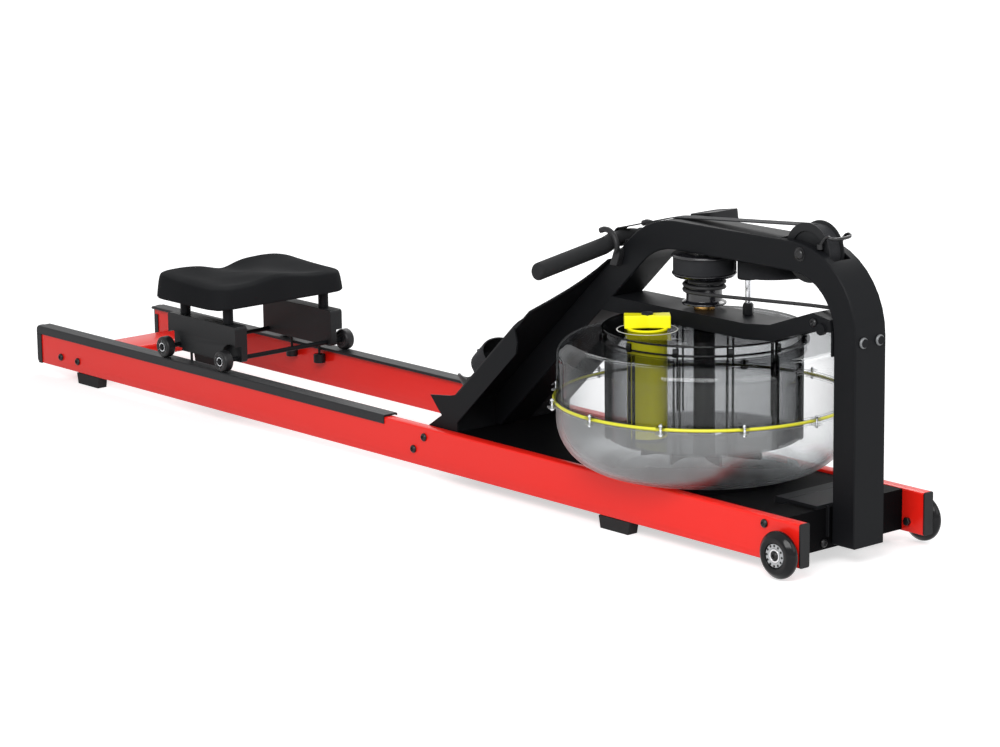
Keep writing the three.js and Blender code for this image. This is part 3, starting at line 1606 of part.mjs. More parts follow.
function make_strap() {
  const low = rest_top + gap * 3 / 2;
  const s = strap_start + strap_width / 2;
  const stations = [];
  const along = new THREE.Vector3(1, 0, 0);
  stations.push({ centre: new THREE.Vector3(s, -strap_half, low), across: along });
  for (let i = 1; i < strap_steps; i += 1) {
    const angle = half_turn * i / strap_steps;
    const y = -strap_half * Math.cos(angle);
    const z = low + (strap_crest - footrest_plate) * Math.sin(angle) ** strap_bow_share;
    stations.push({ centre: new THREE.Vector3(s, y, z), across: along });
  }
  stations.push({ centre: new THREE.Vector3(s, strap_half, low), across: along });
  return on_slope(band(stations, strap_width, strap_thick).translate(0, footrest_y, 0));
}
add_pair('foot_strap', make_strap(), 'webbing');

// Monitor on a folded arm at the far side of the beam
const monitor_lean = THREE.MathUtils.degToRad(monitor_tilt);
const monitor_z = rail_top + monitor_rise;

function make_monitor() {
  const half = monitor_length / 2;
  const outline = round_box(-half, -monitor_width / 2, half, monitor_width / 2, monitor_round);
  const shell = along_z(outline, 0, monitor_thick);
  const side = monitor_width * screen_side_share;
  const screen = block(-half * screen_rear_share, half * screen_front_share, -side, side,
    monitor_thick - screen_recess, monitor_thick + through);
  return cut(shell, [screen]).rotateY(-monitor_lean).translate(monitor_x, monitor_y, monitor_z);
}
add('monitor', make_monitor(), 'black_plastic');

function make_monitor_arm() {
  const half = monitor_arm_width / 2;
  const y0 = arch_width / 2 + gap;
  const low = monitor_z - gap;
  const plate = block(-half, half, y0 - monitor_y, monitor_width / 4, -monitor_arm_wall - gap * 2, -gap * 2);
  plate.rotateY(-monitor_lean).translate(monitor_x, monitor_y, monitor_z);
  const top = low - monitor_arm_wall / 2;
  const sag = half * Math.tan(monitor_lean);
  const drop = along_y([
    at(monitor_x - half, beam_low + arch_wall * 2),
    at(monitor_x + half, beam_low + arch_wall * 2),
    at(monitor_x + half, top + sag - gap * 2),
    at(monitor_x - half, top - sag - gap * 2),
  ], y0, y0 + monitor_arm_wall);
  return join([plate, drop]);
}
add('monitor_arm', make_monitor_arm(), 'black_paint');

// Seat wheels, axles and carriage blocks
const seat_axle_z = track_top + gap + seat_wheel_radius;
const axle_places = { rear: seat_x - wheel_base / 2, front: seat_x + wheel_base / 2 };

function make_seat_wheel(x) {
  const r = seat_wheel_radius;
  const w = seat_wheel_width;
  const bore = seat_axle_radius + gap;
  const round = seat_wheel_round;
  const profile = closed([
    [bore, 0],
    [r - round, 0],
    [r, round],
    [r, w - round],
    [r - round, w],
    [seat_bearing_radius, w],
    [seat_bearing_radius, w - seat_bearing_dish],
    [bore, w - seat_bearing_dish],
  ]);
  return turned_y(profile, 16).translate(x, seat_wheel_rim, seat_axle_z);
}

function make_seat_axle(x) {
  const end = seat_wheel_rim + seat_wheel_width + gap;
  const rod = rod_y(x, seat_axle_z, seat_axle_radius, -end - seat_axle_nut / 2, end + seat_axle_nut / 2);
  const nuts = [-1, 1].map((side) => {
    const y = side > 0 ? end : -end - seat_axle_nut;
    return rod_y(x, seat_axle_z, seat_axle_nut_radius, y, y + seat_axle_nut, 6);
  });
  return join([rod, ...nuts]);
}

Object.entries(axle_places).forEach(([name, x]) => {
  add_pair(`seat_wheel_${name}`, make_seat_wheel(x), 'rubber');
  add(`seat_axle_${name}`, make_seat_axle(x), 'black_paint');
});

const block_low = track_top - track_plate - gap + block_low_rise;
const block_top = block_low + block_height;

function make_carriage() {
  const x0 = seat_x - block_length / 2;
  const x1 = seat_x + block_length / 2;
  const body = along_y(round_box(x0, block_low, x1, block_top, block_corner), block_inner, block_outer);
  const arches = Object.values(axle_places).map((x) => rod_y(x, seat_axle_z, wheel_arch_radius,
    block_outer - wheel_arch_depth, block_outer + through, 16));
  const bores = Object.values(axle_places).map((x) => rod_y(x, seat_axle_z, seat_axle_radius + gap,
    block_inner - through, block_outer + through));
  const hanger_y = rail_in - gap - hanger_roller_radius;
  const roller_z0 = rail_low + hanger_roller_low + hanger_roller_height / 2;
  const hangers = [-1, 1].flatMap((side) => {
    const x = seat_x + side * hanger_spread / 2;
    return [
      rod_z(x, hanger_y, hanger_radius, roller_z0, block_low + block_corner),
      rod_z(x, hanger_y, hanger_roller_radius, roller_z0, roller_z0 + hanger_roller_height, 12),
    ];
  });
  return join([cut(body, [...arches, ...bores]), ...hangers]);
}
add_pair('carriage_block', make_carriage(), 'black_plastic');

// Seat plate with four posts standing on the blocks
const cushion_low = block_top + post_gap_height;

function make_seat_plate() {
  const x0 = seat_x - cushion_length / 2 + plate_inset;
  const x1 = seat_x + cushion_length / 2 - plate_inset;
  const half = cushion_width / 2 - plate_inset / 2;
  const high = cushion_low - gap;
  const plate = along_z(round_box(x0, -half, x1, half, cushion_corner / 3), high - plate_thick, high);
  const posts = [-1, 1].flatMap((a) => [-1, 1].map((b) => rod_z(seat_x + a * seat_post_spread / 2,
    b * seat_post_y, seat_post_radius, block_top + gap, high - plate_thick / 2, 14)));
  return join([plate, ...posts]);
}
add('seat_plate', make_seat_plate(), 'black_paint');

// Contoured cushion: a crowned top over drawn-in sides
function cushion_height(u, v) {
  const reach = Math.abs(v);
  const rear = cushion_rear_lobe - cushion_rear_dip * Math.exp(-((v / cushion_rear_width_share) ** 2));
  const mid = -cushion_mid_dip * Math.exp(-(((reach - cushion_hip_share) / cushion_hip_width_share) ** 2));
  const front = cushion_front_crown * Math.exp(-((v / cushion_front_width_share) ** 2))
    - cushion_front_dip * Math.exp(-(((reach - cushion_thigh_share) / cushion_thigh_width_share) ** 2));
  const t = (u + 1) / 2;
  return (1 - t) ** 2 * rear + 2 * t * (1 - t) * mid + t ** 2 * front;
}

function make_cushion() {
  const middle_x = seat_x + cushion_shift;
  const half_x = cushion_length / 2 - cushion_flare;
  const half_y = cushion_width / 2 - cushion_flare;
  const rim = round_box(-half_x, -half_y, half_x, half_y, cushion_corner, 5);
  const edge = [];
  rim.forEach((p, i) => {
    const q = rim[(i + 1) % rim.length];
    const parts = Math.max(1, Math.round(p.distanceTo(q) / cushion_edge_step));
    for (let k = 0; k < parts; k += 1) {
      edge.push(p.clone().lerp(q, k / parts));
    }
  });
  const place = [];
  const faces = [];
  const count = edge.length;
  const top_z = (x, y) => cushion_low + cushion_side + cushion_height(x / half_x, y / half_y);
  place.push(middle_x, 0, top_z(0, 0));
  const ring = (make) => edge.forEach((p) => place.push(...make(p)));
  cushion_ring_shares.forEach((share) => ring((p) => {
    const roll = share === 1 ? cushion_edge_drop : 0;
    return [middle_x + p.x * share, p.y * share, top_z(p.x * share, p.y * share) - roll];
  }));
  cushion_side_shares.forEach((share) => ring((p) => {
    const start = top_z(p.x, p.y) - cushion_edge_drop;
    const swell = 1 + (cushion_flare / half_x) * Math.sqrt(share);
    const spread = 1 + (cushion_flare / half_y) * Math.sqrt(share);
    return [middle_x + p.x * swell, p.y * spread, start + (cushion_low - start) * share];
  }));
  place.push(middle_x, 0, cushion_low);
  const rings = cushion_ring_shares.length + cushion_side_shares.length;
  for (let k = 0; k < count; k += 1) {
    const n = (k + 1) % count;
    faces.push(0, 1 + k, 1 + n);
    for (let r = 0; r < rings - 1; r += 1) {
      const a = 1 + r * count;
      const b = a + count;
      faces.push(a + k, b + k, b + n, a + k, b + n, a + n);
    }
    const tail = 1 + (rings - 1) * count;
    faces.push(tail + k, 1 + rings * count, tail + n);
  }
  const geo = new THREE.BufferGeometry();
  geo.setAttribute('position', new THREE.BufferAttribute(Float32Array.from(place), 3));
  geo.setIndex(new THREE.BufferAttribute(Uint32Array.from(faces), 1));
  return outward(geo);
}
add('seat_cushion', make_cushion(), 'cushion');

// Least gap of each wound path to itself: its points against later stretches, less its thickness
function least_gap(points, thick, skip) {
  const near = new THREE.Vector3();
  let least = Infinity;
  points.forEach((point, i) => {
    for (let k = i + skip; k < points.length - 1; k += 1) {
      new THREE.Line3(points[k], points[k + 1]).closestPointToPoint(point, true, near);
      least = Math.min(least, near.distanceTo(point));
    }
  });
  return least - thick;
}
const coil_path = coil_stations.map(({ centre }) => centre);
console.log('belt coil gap', least_gap(coil_path, belt_thick, coil_steps / 2).toFixed(2));
console.log('bungee gap', least_gap(bungee_path(), 2 * cord_radius, coil_steps / 2).toFixed(2));

// Set the origin under the middle of the machine
group.updateMatrixWorld(true);
const bounds = new THREE.Box3().setFromObject(group);
const middle = bounds.getCenter(new THREE.Vector3());
group.children.forEach((mesh) => mesh.geometry.translate(-middle.x, 0, 0));

export default group;
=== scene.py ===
"""Water rowing machine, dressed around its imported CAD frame.

Lengths are in millimetres until a piece is settled."""
import math

import bmesh
import bpy
from mathutils import Matrix, Vector


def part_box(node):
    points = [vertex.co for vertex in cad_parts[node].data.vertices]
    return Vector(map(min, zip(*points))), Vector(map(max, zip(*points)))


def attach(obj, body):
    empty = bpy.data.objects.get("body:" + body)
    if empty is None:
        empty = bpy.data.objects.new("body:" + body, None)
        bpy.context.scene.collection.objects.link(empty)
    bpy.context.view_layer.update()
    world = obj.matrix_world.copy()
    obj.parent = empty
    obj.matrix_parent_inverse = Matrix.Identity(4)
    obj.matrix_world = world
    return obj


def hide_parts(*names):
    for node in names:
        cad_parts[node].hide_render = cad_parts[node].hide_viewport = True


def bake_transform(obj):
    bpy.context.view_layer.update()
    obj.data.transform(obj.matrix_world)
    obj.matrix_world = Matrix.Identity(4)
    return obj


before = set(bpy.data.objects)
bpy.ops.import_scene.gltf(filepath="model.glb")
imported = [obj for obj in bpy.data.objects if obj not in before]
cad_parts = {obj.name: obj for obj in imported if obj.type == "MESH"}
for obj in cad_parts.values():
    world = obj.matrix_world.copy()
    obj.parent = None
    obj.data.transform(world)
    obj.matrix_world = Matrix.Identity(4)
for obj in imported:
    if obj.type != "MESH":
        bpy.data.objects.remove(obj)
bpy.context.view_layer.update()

# Side rails
# Two red powder-coated steel box sections, open at the ends and drilled for the cross members.
# Long straight tubes with small rounded corners; they carry everything else.


class Wire:
    """A shader socket that takes arithmetic."""

    def __init__(self, finish, socket):
        self.finish, self.socket = finish, socket

    def sum_of(self, operation, first, second):
        return self.finish.node("ShaderNodeMath", {"operation": operation}, (first, second))

    def __add__(self, other):
        return self.sum_of("ADD", self, other)

    def __sub__(self, other):
        return self.sum_of("SUBTRACT", self, other)

    def __rsub__(self, other):
        return self.sum_of("SUBTRACT", other, self)

    def __mul__(self, other):
        return self.sum_of("MULTIPLY", self, other)

    def __pow__(self, other):
        return self.sum_of("POWER", self, other)

    __radd__, __rmul__ = __add__, __mul__


class Finish:
    """One surface of the machine, built from shader nodes."""

    def __init__(self, name, colour, rough, metal=0.0, coat=0.0, specular=0.5):
        self.material = bpy.data.materials.new(name)
        self.material.use_nodes = True
        self.tree = self.material.node_tree
        self.shader = self.tree.nodes["Principled BSDF"]
        self.colour = (*colour, 1)
        self.set("Base Color", self.colour)
        self.set("Roughness", rough)
        self.set("Metallic", metal)
        self.set("Coat Weight", coat)
        self.set("Specular IOR Level", specular)

    def set(self, socket, value):
        if isinstance(value, Wire):
            self.tree.links.new(value.socket, self.shader.inputs[socket])
        else:
            self.shader.inputs[socket].default_value = value

    def node(self, kind, settings=None, values=(), out=0):
        made = self.tree.nodes.new(kind)
        for key, value in (settings or {}).items():
            if key == "stops":
                ramp = made.color_ramp.elements
                for element, (at, shade) in zip(ramp, value):
                    element.position, element.color = at, (shade, shade, shade, 1)
            else:
                setattr(made, key, value)
        pairs = values.items() if isinstance(values, dict) else enumerate(values)
        for key, value in pairs:
            if isinstance(value, Wire):
                self.tree.links.new(value.socket, made.inputs[key])
            else:
                made.inputs[key].default_value = value
        return Wire(self, made.outputs[out])

    def place(self):
        return self.node("ShaderNodeTexCoord", out="Object")

    def grain(self, scale, detail=2.0, stretch=None):
        spot = self.place()
        if stretch:
            spot = self.node("ShaderNodeMapping", None, {"Vector": spot, "Scale": stretch})
        return self.node("ShaderNodeTexNoise", None, {"Vector": spot, "Scale": scale, "Detail": detail})

    def ramp(self, value, low, high, at=(0.35, 0.65)):
        return self.node("ShaderNodeValToRGB", {"stops": ((at[0], low), (at[1], high))}, {"Fac": value})

    def tint(self, mask, other):
        mixed = self.node("ShaderNodeMix", {"data_type": "RGBA"},
                          {0: mask, 6: self.colour, 7: (*other, 1)}, out=2)
        self.set("Base Color", mixed)
        return self

    def bump(self, height, strength, reach):
        self.set("Normal", self.node("ShaderNodeBump", None,
                                     {"Height": height, "Strength": strength, "Distance": reach}))
        return self


def coated(name, colour, rough, peel, coat):
    """Powder coat: faint orange peel and slightly uneven gloss."""
    made = Finish(name, colour, rough, coat=coat, specular=0.22)
    made.set("Roughness", made.ramp(made.grain(6.0, 1.0), rough - 0.03, rough + 0.04, (0.1, 0.9)))
    return made.bump(made.grain(peel), 0.08, 0.0003)


def scaled(bm, factor):
    bmesh.ops.scale(bm, vec=(factor,) * 3, verts=bm.verts)


def settle(bm, name, finish, body, slot, stands_for=(), bevel=0.0, crease=32.0, merge=True):
    """Turn a finished bmesh into a piece that rides on a body and stands for its CAD nodes."""
    if merge:
        bmesh.ops.remove_doubles(bm, verts=bm.verts, dist=0.002)
        bmesh.ops.recalc_face_normals(bm, faces=bm.faces)
    scaled(bm, 0.001)
    mesh = bpy.data.meshes.new(name)
    bm.to_mesh(mesh)
    bm.free()
    piece = bpy.data.objects.new(name, mesh)
    bpy.context.scene.collection.objects.link(piece)
    mesh.materials.append(finish.material)
    mesh.polygons.foreach_set("use_smooth", [True] * len(mesh.polygons))
    mesh.set_sharp_from_angle(angle=math.radians(crease))
    if bevel:
        edge = piece.modifiers.new("edge", "BEVEL")
        edge.width, edge.segments = bevel * 0.001, 2
        edge.limit_method, edge.angle_limit = "ANGLE", math.radians(34)
        edge.harden_normals = True
    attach(piece, body)
    if stands_for:
        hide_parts(*stands_for)
    return piece


def frame_mesh(node):
    """A merged copy of a CAD node, flat areas joined, in millimetres."""
    bm = bmesh.new()
    bm.from_mesh(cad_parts[node].data)
    scaled(bm, 1000)
    bmesh.ops.remove_doubles(bm, verts=bm.verts, dist=0.002)
    bmesh.ops.dissolve_limit(bm, angle_limit=math.radians(0.6), verts=bm.verts, edges=bm.edges)
    return bm


def dress(node, name, finish, body, slot, **look):
    """Settle a copy of a CAD node as the piece that stands for it."""
    return settle(frame_mesh(node), name, finish, body, slot, [node], **look)


def trim(bm, point, outward):
    """Cut away what lies beyond a plane and close the cut."""
    cut = bmesh.ops.bisect_plane(bm, geom=bm.verts[:] + bm.edges[:] + bm.faces[:], plane_co=point,
                                 plane_no=outward, clear_outer=True)
    rim = [e for e in cut["geom_cut"] if isinstance(e, bmesh.types.BMEdge)]
    bmesh.ops.holes_fill(bm, edges=rim)


SIDES = {"near": -1, "far": 1}
rail_out = 141.5
rail_in = 121.9
skim = 0.02
red = coated("red_coat", (0.86, 0.016, 0.009), 0.3, 1100.0, 0.12)
for side, sign in SIDES.items():
    bm = frame_mesh(f"rail_{side}")
    trim(bm, (0, sign * (rail_out + skim), 0), (0, sign, 0))
    trim(bm, (0, sign * (rail_in - skim), 0), (0, -sign, 0))
    settle(bm, f"red_rail_{side}", red, "frame", "red_paint", [f"rail_{side}"], bevel=0.5)

# Rail bolts
# Black button-head screws with a hexagon socket, sunk through the rails into the cross members.
# The wheel bolts run the other way, with their heads inside the rails.


def turn(bm, profile, centre=(0, 0, 0), axis="Z", steps=64):
    """Spin a closed outline of radius and height pairs about an axis through centre."""
    verts = [bm.verts.new((radius, 0, height)) for radius, height in profile]
    edges = [bm.edges.new((a, b)) for a, b in zip(verts, verts[1:] + verts[:1])]
    bmesh.ops.spin(bm, geom=verts + edges, axis=(0, 0, 1), cent=(0, 0, 0), angle=math.tau,
                   steps=steps, use_merge=True)
    fresh = list(linked(verts))
    turned = {"X": Matrix.Rotation(math.pi / 2, 3, "Y"), "Y": Matrix.Rotation(-math.pi / 2, 3, "X"),
              "-Y": Matrix.Rotation(math.pi / 2, 3, "X"), "Z": Matrix.Identity(3)}[axis]
    bmesh.ops.rotate(bm, matrix=turned, verts=fresh)
    bmesh.ops.translate(bm, vec=centre, verts=fresh)
    return fresh


def linked(verts):
    """Every vertex joined to these."""
    seen, queue = set(verts), list(verts)
    while queue:
        for edge in queue.pop().link_edges:
            for v in edge.verts:
                if v not in seen:
                    seen.add(v)
                    queue.append(v)
    return seen


def eased(profile, radius, steps=3):
    """Round the corners of an outline."""
    points = [Vector(p) for p in profile]
    made = []
    for i, here in enumerate(points):
        before, after = points[i - 1] - here, points[(i + 1) % len(points)] - here
        reach = min(radius, before.length * 0.45, after.length * 0.45)
        on_axis = here.x < 1e-6
        if on_axis or reach < 0.05 or before.angle(after) > 3.0:
            made.append(here)
            continue
        a, b = here + before.normalized() * reach, here + after.normalized() * reach
        for k in range(steps + 1):
            t = k / steps
            made.append(a * (1 - t) ** 2 + here * 2 * t * (1 - t) + b * t * t)
    return [tuple(p) for p in made]


screw_black = Finish("screw_black", (0.010, 0.010, 0.011), 0.32, metal=0.4)
screw_black.bump(screw_black.grain(1500.0), 0.08, 0.0002)
HEAD = eased([(0, 1.8), (3.1, 1.8), (3.1, 4.2), (4.6, 4.2), (6.5, 2.2), (6.5, 0), (0, 0)], 0.7)
OUTWARD = {-1: "-Y", 1: "Y"}


def rail_screws(name, spots):
    """Button heads on both rails at a list of X and Z places."""
    bm = bmesh.new()
    for sign in SIDES.values():
        for x, z in spots:
            turn(bm, HEAD, (x, sign * (rail_out + screw_air), z), OUTWARD[sign], 24)
    settle(bm, name, screw_black, "frame", "black_paint")


def middle_of(node):
    """The centre of a CAD node's box, in millimetres."""
    return (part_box(node)[0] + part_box(node)[1]) * 500


def levels_of(node):
    """The lowest and highest point of a CAD node, in millimetres."""
    return [corner.z * 1000 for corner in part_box(node)]


screw_air, joint_air = 0.15, 0.1
bolt_head_r, bolt_head, shank_r, shank, shank_sunk = 6.5, 6.0, 4.9, 22.0, 2.0
wheel_x, _, wheel_z = middle_of("transport_wheel_far")
bm = bmesh.new()
for sign in SIDES.values():
    turn(bm, eased([(0, 0), (bolt_head_r, 0), (bolt_head_r, bolt_head), (0, bolt_head)], 1.2),
         (wheel_x, sign * (rail_in - joint_air), wheel_z), OUTWARD[-sign], 6)
    turn(bm, [(0, 0), (shank_r, 0), (shank_r, shank), (0, shank)],
         (wheel_x, sign * (rail_out - shank_sunk), wheel_z), OUTWARD[sign], 24)
settle(bm, "wheel_bolts", screw_black, "frame", "black_paint")

# Seat tracks
# Black plastic running strips, clipped over the rear half of each rail.
# Their tops are streaked and worn smooth where the seat wheels roll.
strip = Finish("track_strip", (0.0105, 0.011, 0.0125), 0.45, specular=0.2)
streak = strip.grain(26.0, 3.0, (0.6, 40.0, 40.0))
strip.set("Roughness", strip.ramp(streak, 0.36, 0.56))
strip.tint(strip.ramp(streak, 0.0, 0.35), (0.04, 0.04, 0.042)).bump(strip.grain(1100.0), 0.1, 0.0003)
for side in SIDES:
    dress(f"track_{side}", f"seat_track_{side}", strip, "frame", "track_plastic", bevel=0.6)

# End caps
# Black moulded plugs that are pushed into the rail ends and close them.
# The rear ones reach over the track and grip the rail with thin skirts.
moulded = Finish("moulded_black", (0.0085, 0.009, 0.010), 0.46, specular=0.2)
moulded.bump(moulded.grain(1400.0, 3.0), 0.16, 0.0004)


def box_at(bm, x0, x1, y0, y1, z0, z1):
    """A block between two levels along each axis."""
    verts = bmesh.ops.create_cube(bm, size=1.0)["verts"]
    bmesh.ops.scale(bm, vec=(x1 - x0, y1 - y0, z1 - z0), verts=verts)
    bmesh.ops.translate(bm, vec=((x0 + x1) / 2, (y0 + y1) / 2, (z0 + z1) / 2), verts=verts)
    return verts


skirt, skirt_low, skirt_top, skirt_air, skirt_wall = 10.8, 20.2, 74.6, 0.05, 1.9
for side, sign in SIDES.items():
    for end in ("rear", "front"):
        dress(f"{end}_cap_{side}", f"rail_{end}_cap_{side}", moulded, "frame", "black_plastic", bevel=0.9)
    bm = bmesh.new()
    rail_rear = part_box(f"rail_{side}")[0].x * 1000
    for inner, outer in ((rail_out + skirt_air, rail_out + skirt_wall),
                         (rail_in - skirt_wall, rail_in - skirt_air)):
        low_y, high_y = sorted((sign * inner, sign * outer))
        box_at(bm, rail_rear, rail_rear + skirt, low_y, high_y, skirt_low, skirt_top)
    settle(bm, f"rear_cap_skirt_{side}", moulded, "frame", "black_plastic", bevel=0.5)

# Feet
# Tapered black rubber pads under both ends of each rail.
# A screw whose head lies in a recess holds each one.
pad_rubber = Finish("pad_rubber", (0.020, 0.0195, 0.020), 0.78, specular=0.2)
pad_rubber.bump(pad_rubber.grain(600.0, 4.0), 0.25, 0.0005)
for side in SIDES:
    for end in ("rear", "front"):
        dress(f"{end}_foot_{side}", f"{end}_pad_{side}", pad_rubber, "frame", "rubber", bevel=1.2)

# Rear cross tube
# Red folded steel channel, welded to plates at its ends.
# Two screws through each rail hold it.


def between_rails(node):
    """A CAD node's copy, cut off where it would run into the rails."""
    bm = frame_mesh(node)
    for sign in SIDES.values():
        trim(bm, (0, sign * (rail_in - joint_air), 0), (0, sign, 0))
    return bm


rear_spots = [(-905.25, 41.0), (-851.25, 41.0)]
settle(between_rails("rear_cross_tube"), "rear_tube", red, "frame", "red_paint", ["rear_cross_tube"],
       bevel=0.6)
rail_screws("rear_screws", rear_spots)

# Front cross member and tank deck
# Black folded steel: a channel behind the column and a tray that the tank stands on.
# One screw through each rail holds the channel; a thin sheet in the darker coat closes the tray's slots
# from below, as painted shade where the floor would show through them.
black = coated("black_coat", (0.0066, 0.0071, 0.0082), 0.46, 1300.0, 0.0)
black.set("Specular IOR Level", 0.08)
# A darker copy of the black coat: painted shade for the tank's shadow on the front member, the deck and
# its closing sheet.
shaded = coated("deck_coat_painted_shade", (0.0024, 0.0024, 0.0028), 0.58, 1300.0, 0.0)
shaded.set("Specular IOR Level", 0.03)
front_spots = [(903.25, 75.0)]
settle(between_rails("front_cross_member"), "front_member", shaded, "frame", "black_paint",
       ["front_cross_member"], bevel=0.8)
rail_screws("front_screws", front_spots)
dress("tank_deck", "deck", shaded, "frame", "black_paint", bevel=0.5)
bm = bmesh.new()
deck_rear, deck_front = (corner.x * 1000 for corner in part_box("tank_deck"))
liner_rear, liner_front, liner_half, liner_low, liner_top = 10.0, 50.0, 95.0, 77.2, 77.8
box_at(bm, deck_rear + liner_rear, deck_front - liner_front, -liner_half, liner_half, liner_low,
       liner_top)
settle(bm, "deck_liner", shaded, "frame", "black_paint")

# Column foot
# Black steel step folded round the column, which covers the front member and steps down behind it.
# Two straps in front of the member and two screws hold it.
step_rear, step_half, step_low, step_top = 846.0, 62.0, 57.4, 91.0
tab_in, tab_out, tab_low, tab_top, tab_deep = 41.0, 43.4, 42.0, 89.0, 6.0
foot_screw_y, foot_screw_z = 47.5, 33.0
member_low, member_high = (corner * 1000 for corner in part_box("front_cross_member"))
column_rear, column_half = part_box("main_arch")[1].x * 1000 - 44.6, 32.6


def slab(bm, outline, axis, low, high):
    """Extrude a plane outline between two levels along an axis."""
    spots = {"X": lambda u, v: (low, u, v), "Y": lambda u, v: (u, low, v),
             "Z": lambda u, v: (u, v, low)}[axis]
    face = bm.faces.new([bm.verts.new(spots(u, v)) for u, v in outline])
    made = bmesh.ops.extrude_face_region(bm, geom=[face])["geom"]
    top = [v for v in made if isinstance(v, bmesh.types.BMVert)]
    push = Vector({"X": (1, 0, 0), "Y": (0, 1, 0), "Z": (0, 0, 1)}[axis]) * (high - low)
    bmesh.ops.translate(bm, vec=push, verts=top)
    return list(linked(top))


bm = bmesh.new()
half = [(column_rear, column_half), (member_high.x, column_half), (member_high.x, step_half),
        (member_low.x - 0.2, step_half)]
slab(bm, [(x, -y) for x, y in reversed(half)] + half, "Z", member_high.z + 0.15, step_top)
slab(bm, [(step_rear, -step_half), (member_low.x - 0.4, -step_half), (member_low.x - 0.4, step_half),
          (step_rear, step_half)], "Z", step_low, step_top)
settle(bm, "column_step", black, "frame", "black_paint", bevel=0.8)
bm = bmesh.new()
for sign in SIDES.values():
    low_y, high_y = sorted((sign * tab_in, sign * tab_out))
    box_at(bm, member_high.x + joint_air, member_high.x + tab_deep, low_y, high_y, tab_low, tab_top)
settle(bm, "column_straps", black, "frame", "black_paint", bevel=0.6)
bm = bmesh.new()
for sign in SIDES.values():
    turn(bm, HEAD, (member_high.x + joint_air, sign * foot_screw_y, foot_screw_z), "X", 24)
settle(bm, "column_foot_screws", screw_black, "frame", "black_paint")

# Transport wheels
# Cast polyurethane skate wheels: glossy black tyre, grey hub with a ring of pockets drawn as thin dark
# discs of painted shade, steel bearing.
# Each turns on a bolt through the rail, with a nut outside.
tyre = Finish("skate_tyre", (0.005, 0.005, 0.006), 0.2, specular=0.2)
tyre.set("Roughness", tyre.ramp(tyre.grain(60.0, 5.0), 0.1, 0.2))
hub_grey = Finish("hub_grey", (0.42, 0.43, 0.44), 0.4)
hub_grey.tint(hub_grey.grain(160.0, 4.0) * 0.5, (0.30, 0.31, 0.32)).bump(hub_grey.grain(900.0), 0.1,
                                                                         0.0002)
pocket_painted_shade = Finish("pocket_painted_shade", (0.012, 0.012, 0.013), 0.5, specular=0.2)
pocket_painted_shade.bump(pocket_painted_shade.grain(1200.0), 0.12, 0.0002)
steel = Finish("turned_steel", (0.62, 0.63, 0.65), 0.24, metal=1.0)
steel.set("Roughness", steel.ramp(steel.grain(30.0, 1.0, (1.0, 1.0, 14.0)), 0.2, 0.27))


def disc_of(bm, radius, low, high, centre, axis, steps=32, ease=0.3):
    """A solid round bar or disc between two levels."""
    return turn(bm, eased([(0, low), (radius, low), (radius, high), (0, high)], ease), centre, axis,
                steps)


wheel_air, nut_out = 0.3, 18.0
pockets, pocket_ring, pocket_r = 12, 15.0, 1.9
for side, sign in SIDES.items():
    axis = OUTWARD[sign]
    hub = (wheel_x, sign * (rail_out + wheel_air), wheel_z)
    body = f"transport_{side}"
    bm = bmesh.new()
    turn(bm, eased([(5.4, 0.4), (19, 0.4), (19, 1.6), (27, 0), (35.5, 7.6), (35.5, 14.4), (27, 21.9),
                    (19, 20.6), (19, 18.2), (5.4, 18.2)], 3.4, 5), hub, axis, 96)
    settle(bm, f"skate_wheel_{side}", tyre, body, "tyre", [f"transport_wheel_{side}"])
    bm = bmesh.new()
    turn(bm, eased([(10.5, 18.4), (17.4, 18.4), (17.4, 19.6), (16.4, 20.1), (11.6, 20.1),
                    (10.5, 19.4)], 0.4), hub, axis, 64)
    settle(bm, f"wheel_hub_{side}", hub_grey, body, "steel")
    # The pockets are thin dark discs on the hub face: painted shade standing in for their hollows.
    bm = bmesh.new()
    for i in range(pockets):
        a = math.tau * i / pockets
        spot = (hub[0] + pocket_ring * math.cos(a), hub[1], hub[2] + pocket_ring * math.sin(a))
        disc_of(bm, pocket_r, 19.7, 20.4, spot, axis, 12, 0.1)
    settle(bm, f"hub_pockets_{side}", pocket_painted_shade, body, "black_plastic")
    bm = bmesh.new()
    turn(bm, eased([(7.6, 18.3), (10.2, 18.3), (10.2, 20.0), (7.6, 20.0)], 0.3), hub, axis, 48)
    settle(bm, f"wheel_bearing_{side}", steel, body, "steel")
    bm = bmesh.new()
    turn(bm, HEAD, (hub[0], sign * (rail_out + nut_out), hub[2]), axis, 24)
    settle(bm, f"wheel_nut_{side}", screw_black, "frame", "black_paint")

# Main arch
# One rectangular steel tube bent twice, slotted at the front bend for the pulley, satin black.
# It stands on the deck between two bent straps and is held by grey screws through the column.
arch_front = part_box("main_arch")[1].x * 1000
dress("main_arch", "arch_tube", black, "frame", "black_paint", bevel=0.8, crease=24.0)
grey = Finish("grey_zinc", (0.16, 0.165, 0.17), 0.42, metal=0.6)
grey.bump(grey.grain(900.0), 0.1, 0.0003)
wide_head, column_screw_y, column_screw_z = 1.28, 17.0, 334.0
bm = bmesh.new()
for y in (-column_screw_y, column_screw_y):
    turn(bm, [(r * wide_head, h) for r, h in HEAD], (arch_front + joint_air, y, column_screw_z), "X", 32)
settle(bm, "column_screws", grey, "frame", "black_paint")

# Cross bracket
# Black steel channel over the tank, cranked up to the column and screwed to it.
# It carries the shaft bearing and the guide post.
dress("cross_bracket", "bracket", black, "frame", "black_paint", bevel=0.7)
bracket_screw_spot = (896.45, -35.1, 355.0)
bm = bmesh.new()
turn(bm, HEAD, bracket_screw_spot, "-Y", 24)
settle(bm, "bracket_screw", screw_black, "frame", "black_paint")

# Water tank
# Two clear, faintly smoky polycarbonate shells: a round bowl, and a flat-topped upper half.
# Bolted flanges clamp them round a yellow seal; the upper one is open in the middle for the inner tank.


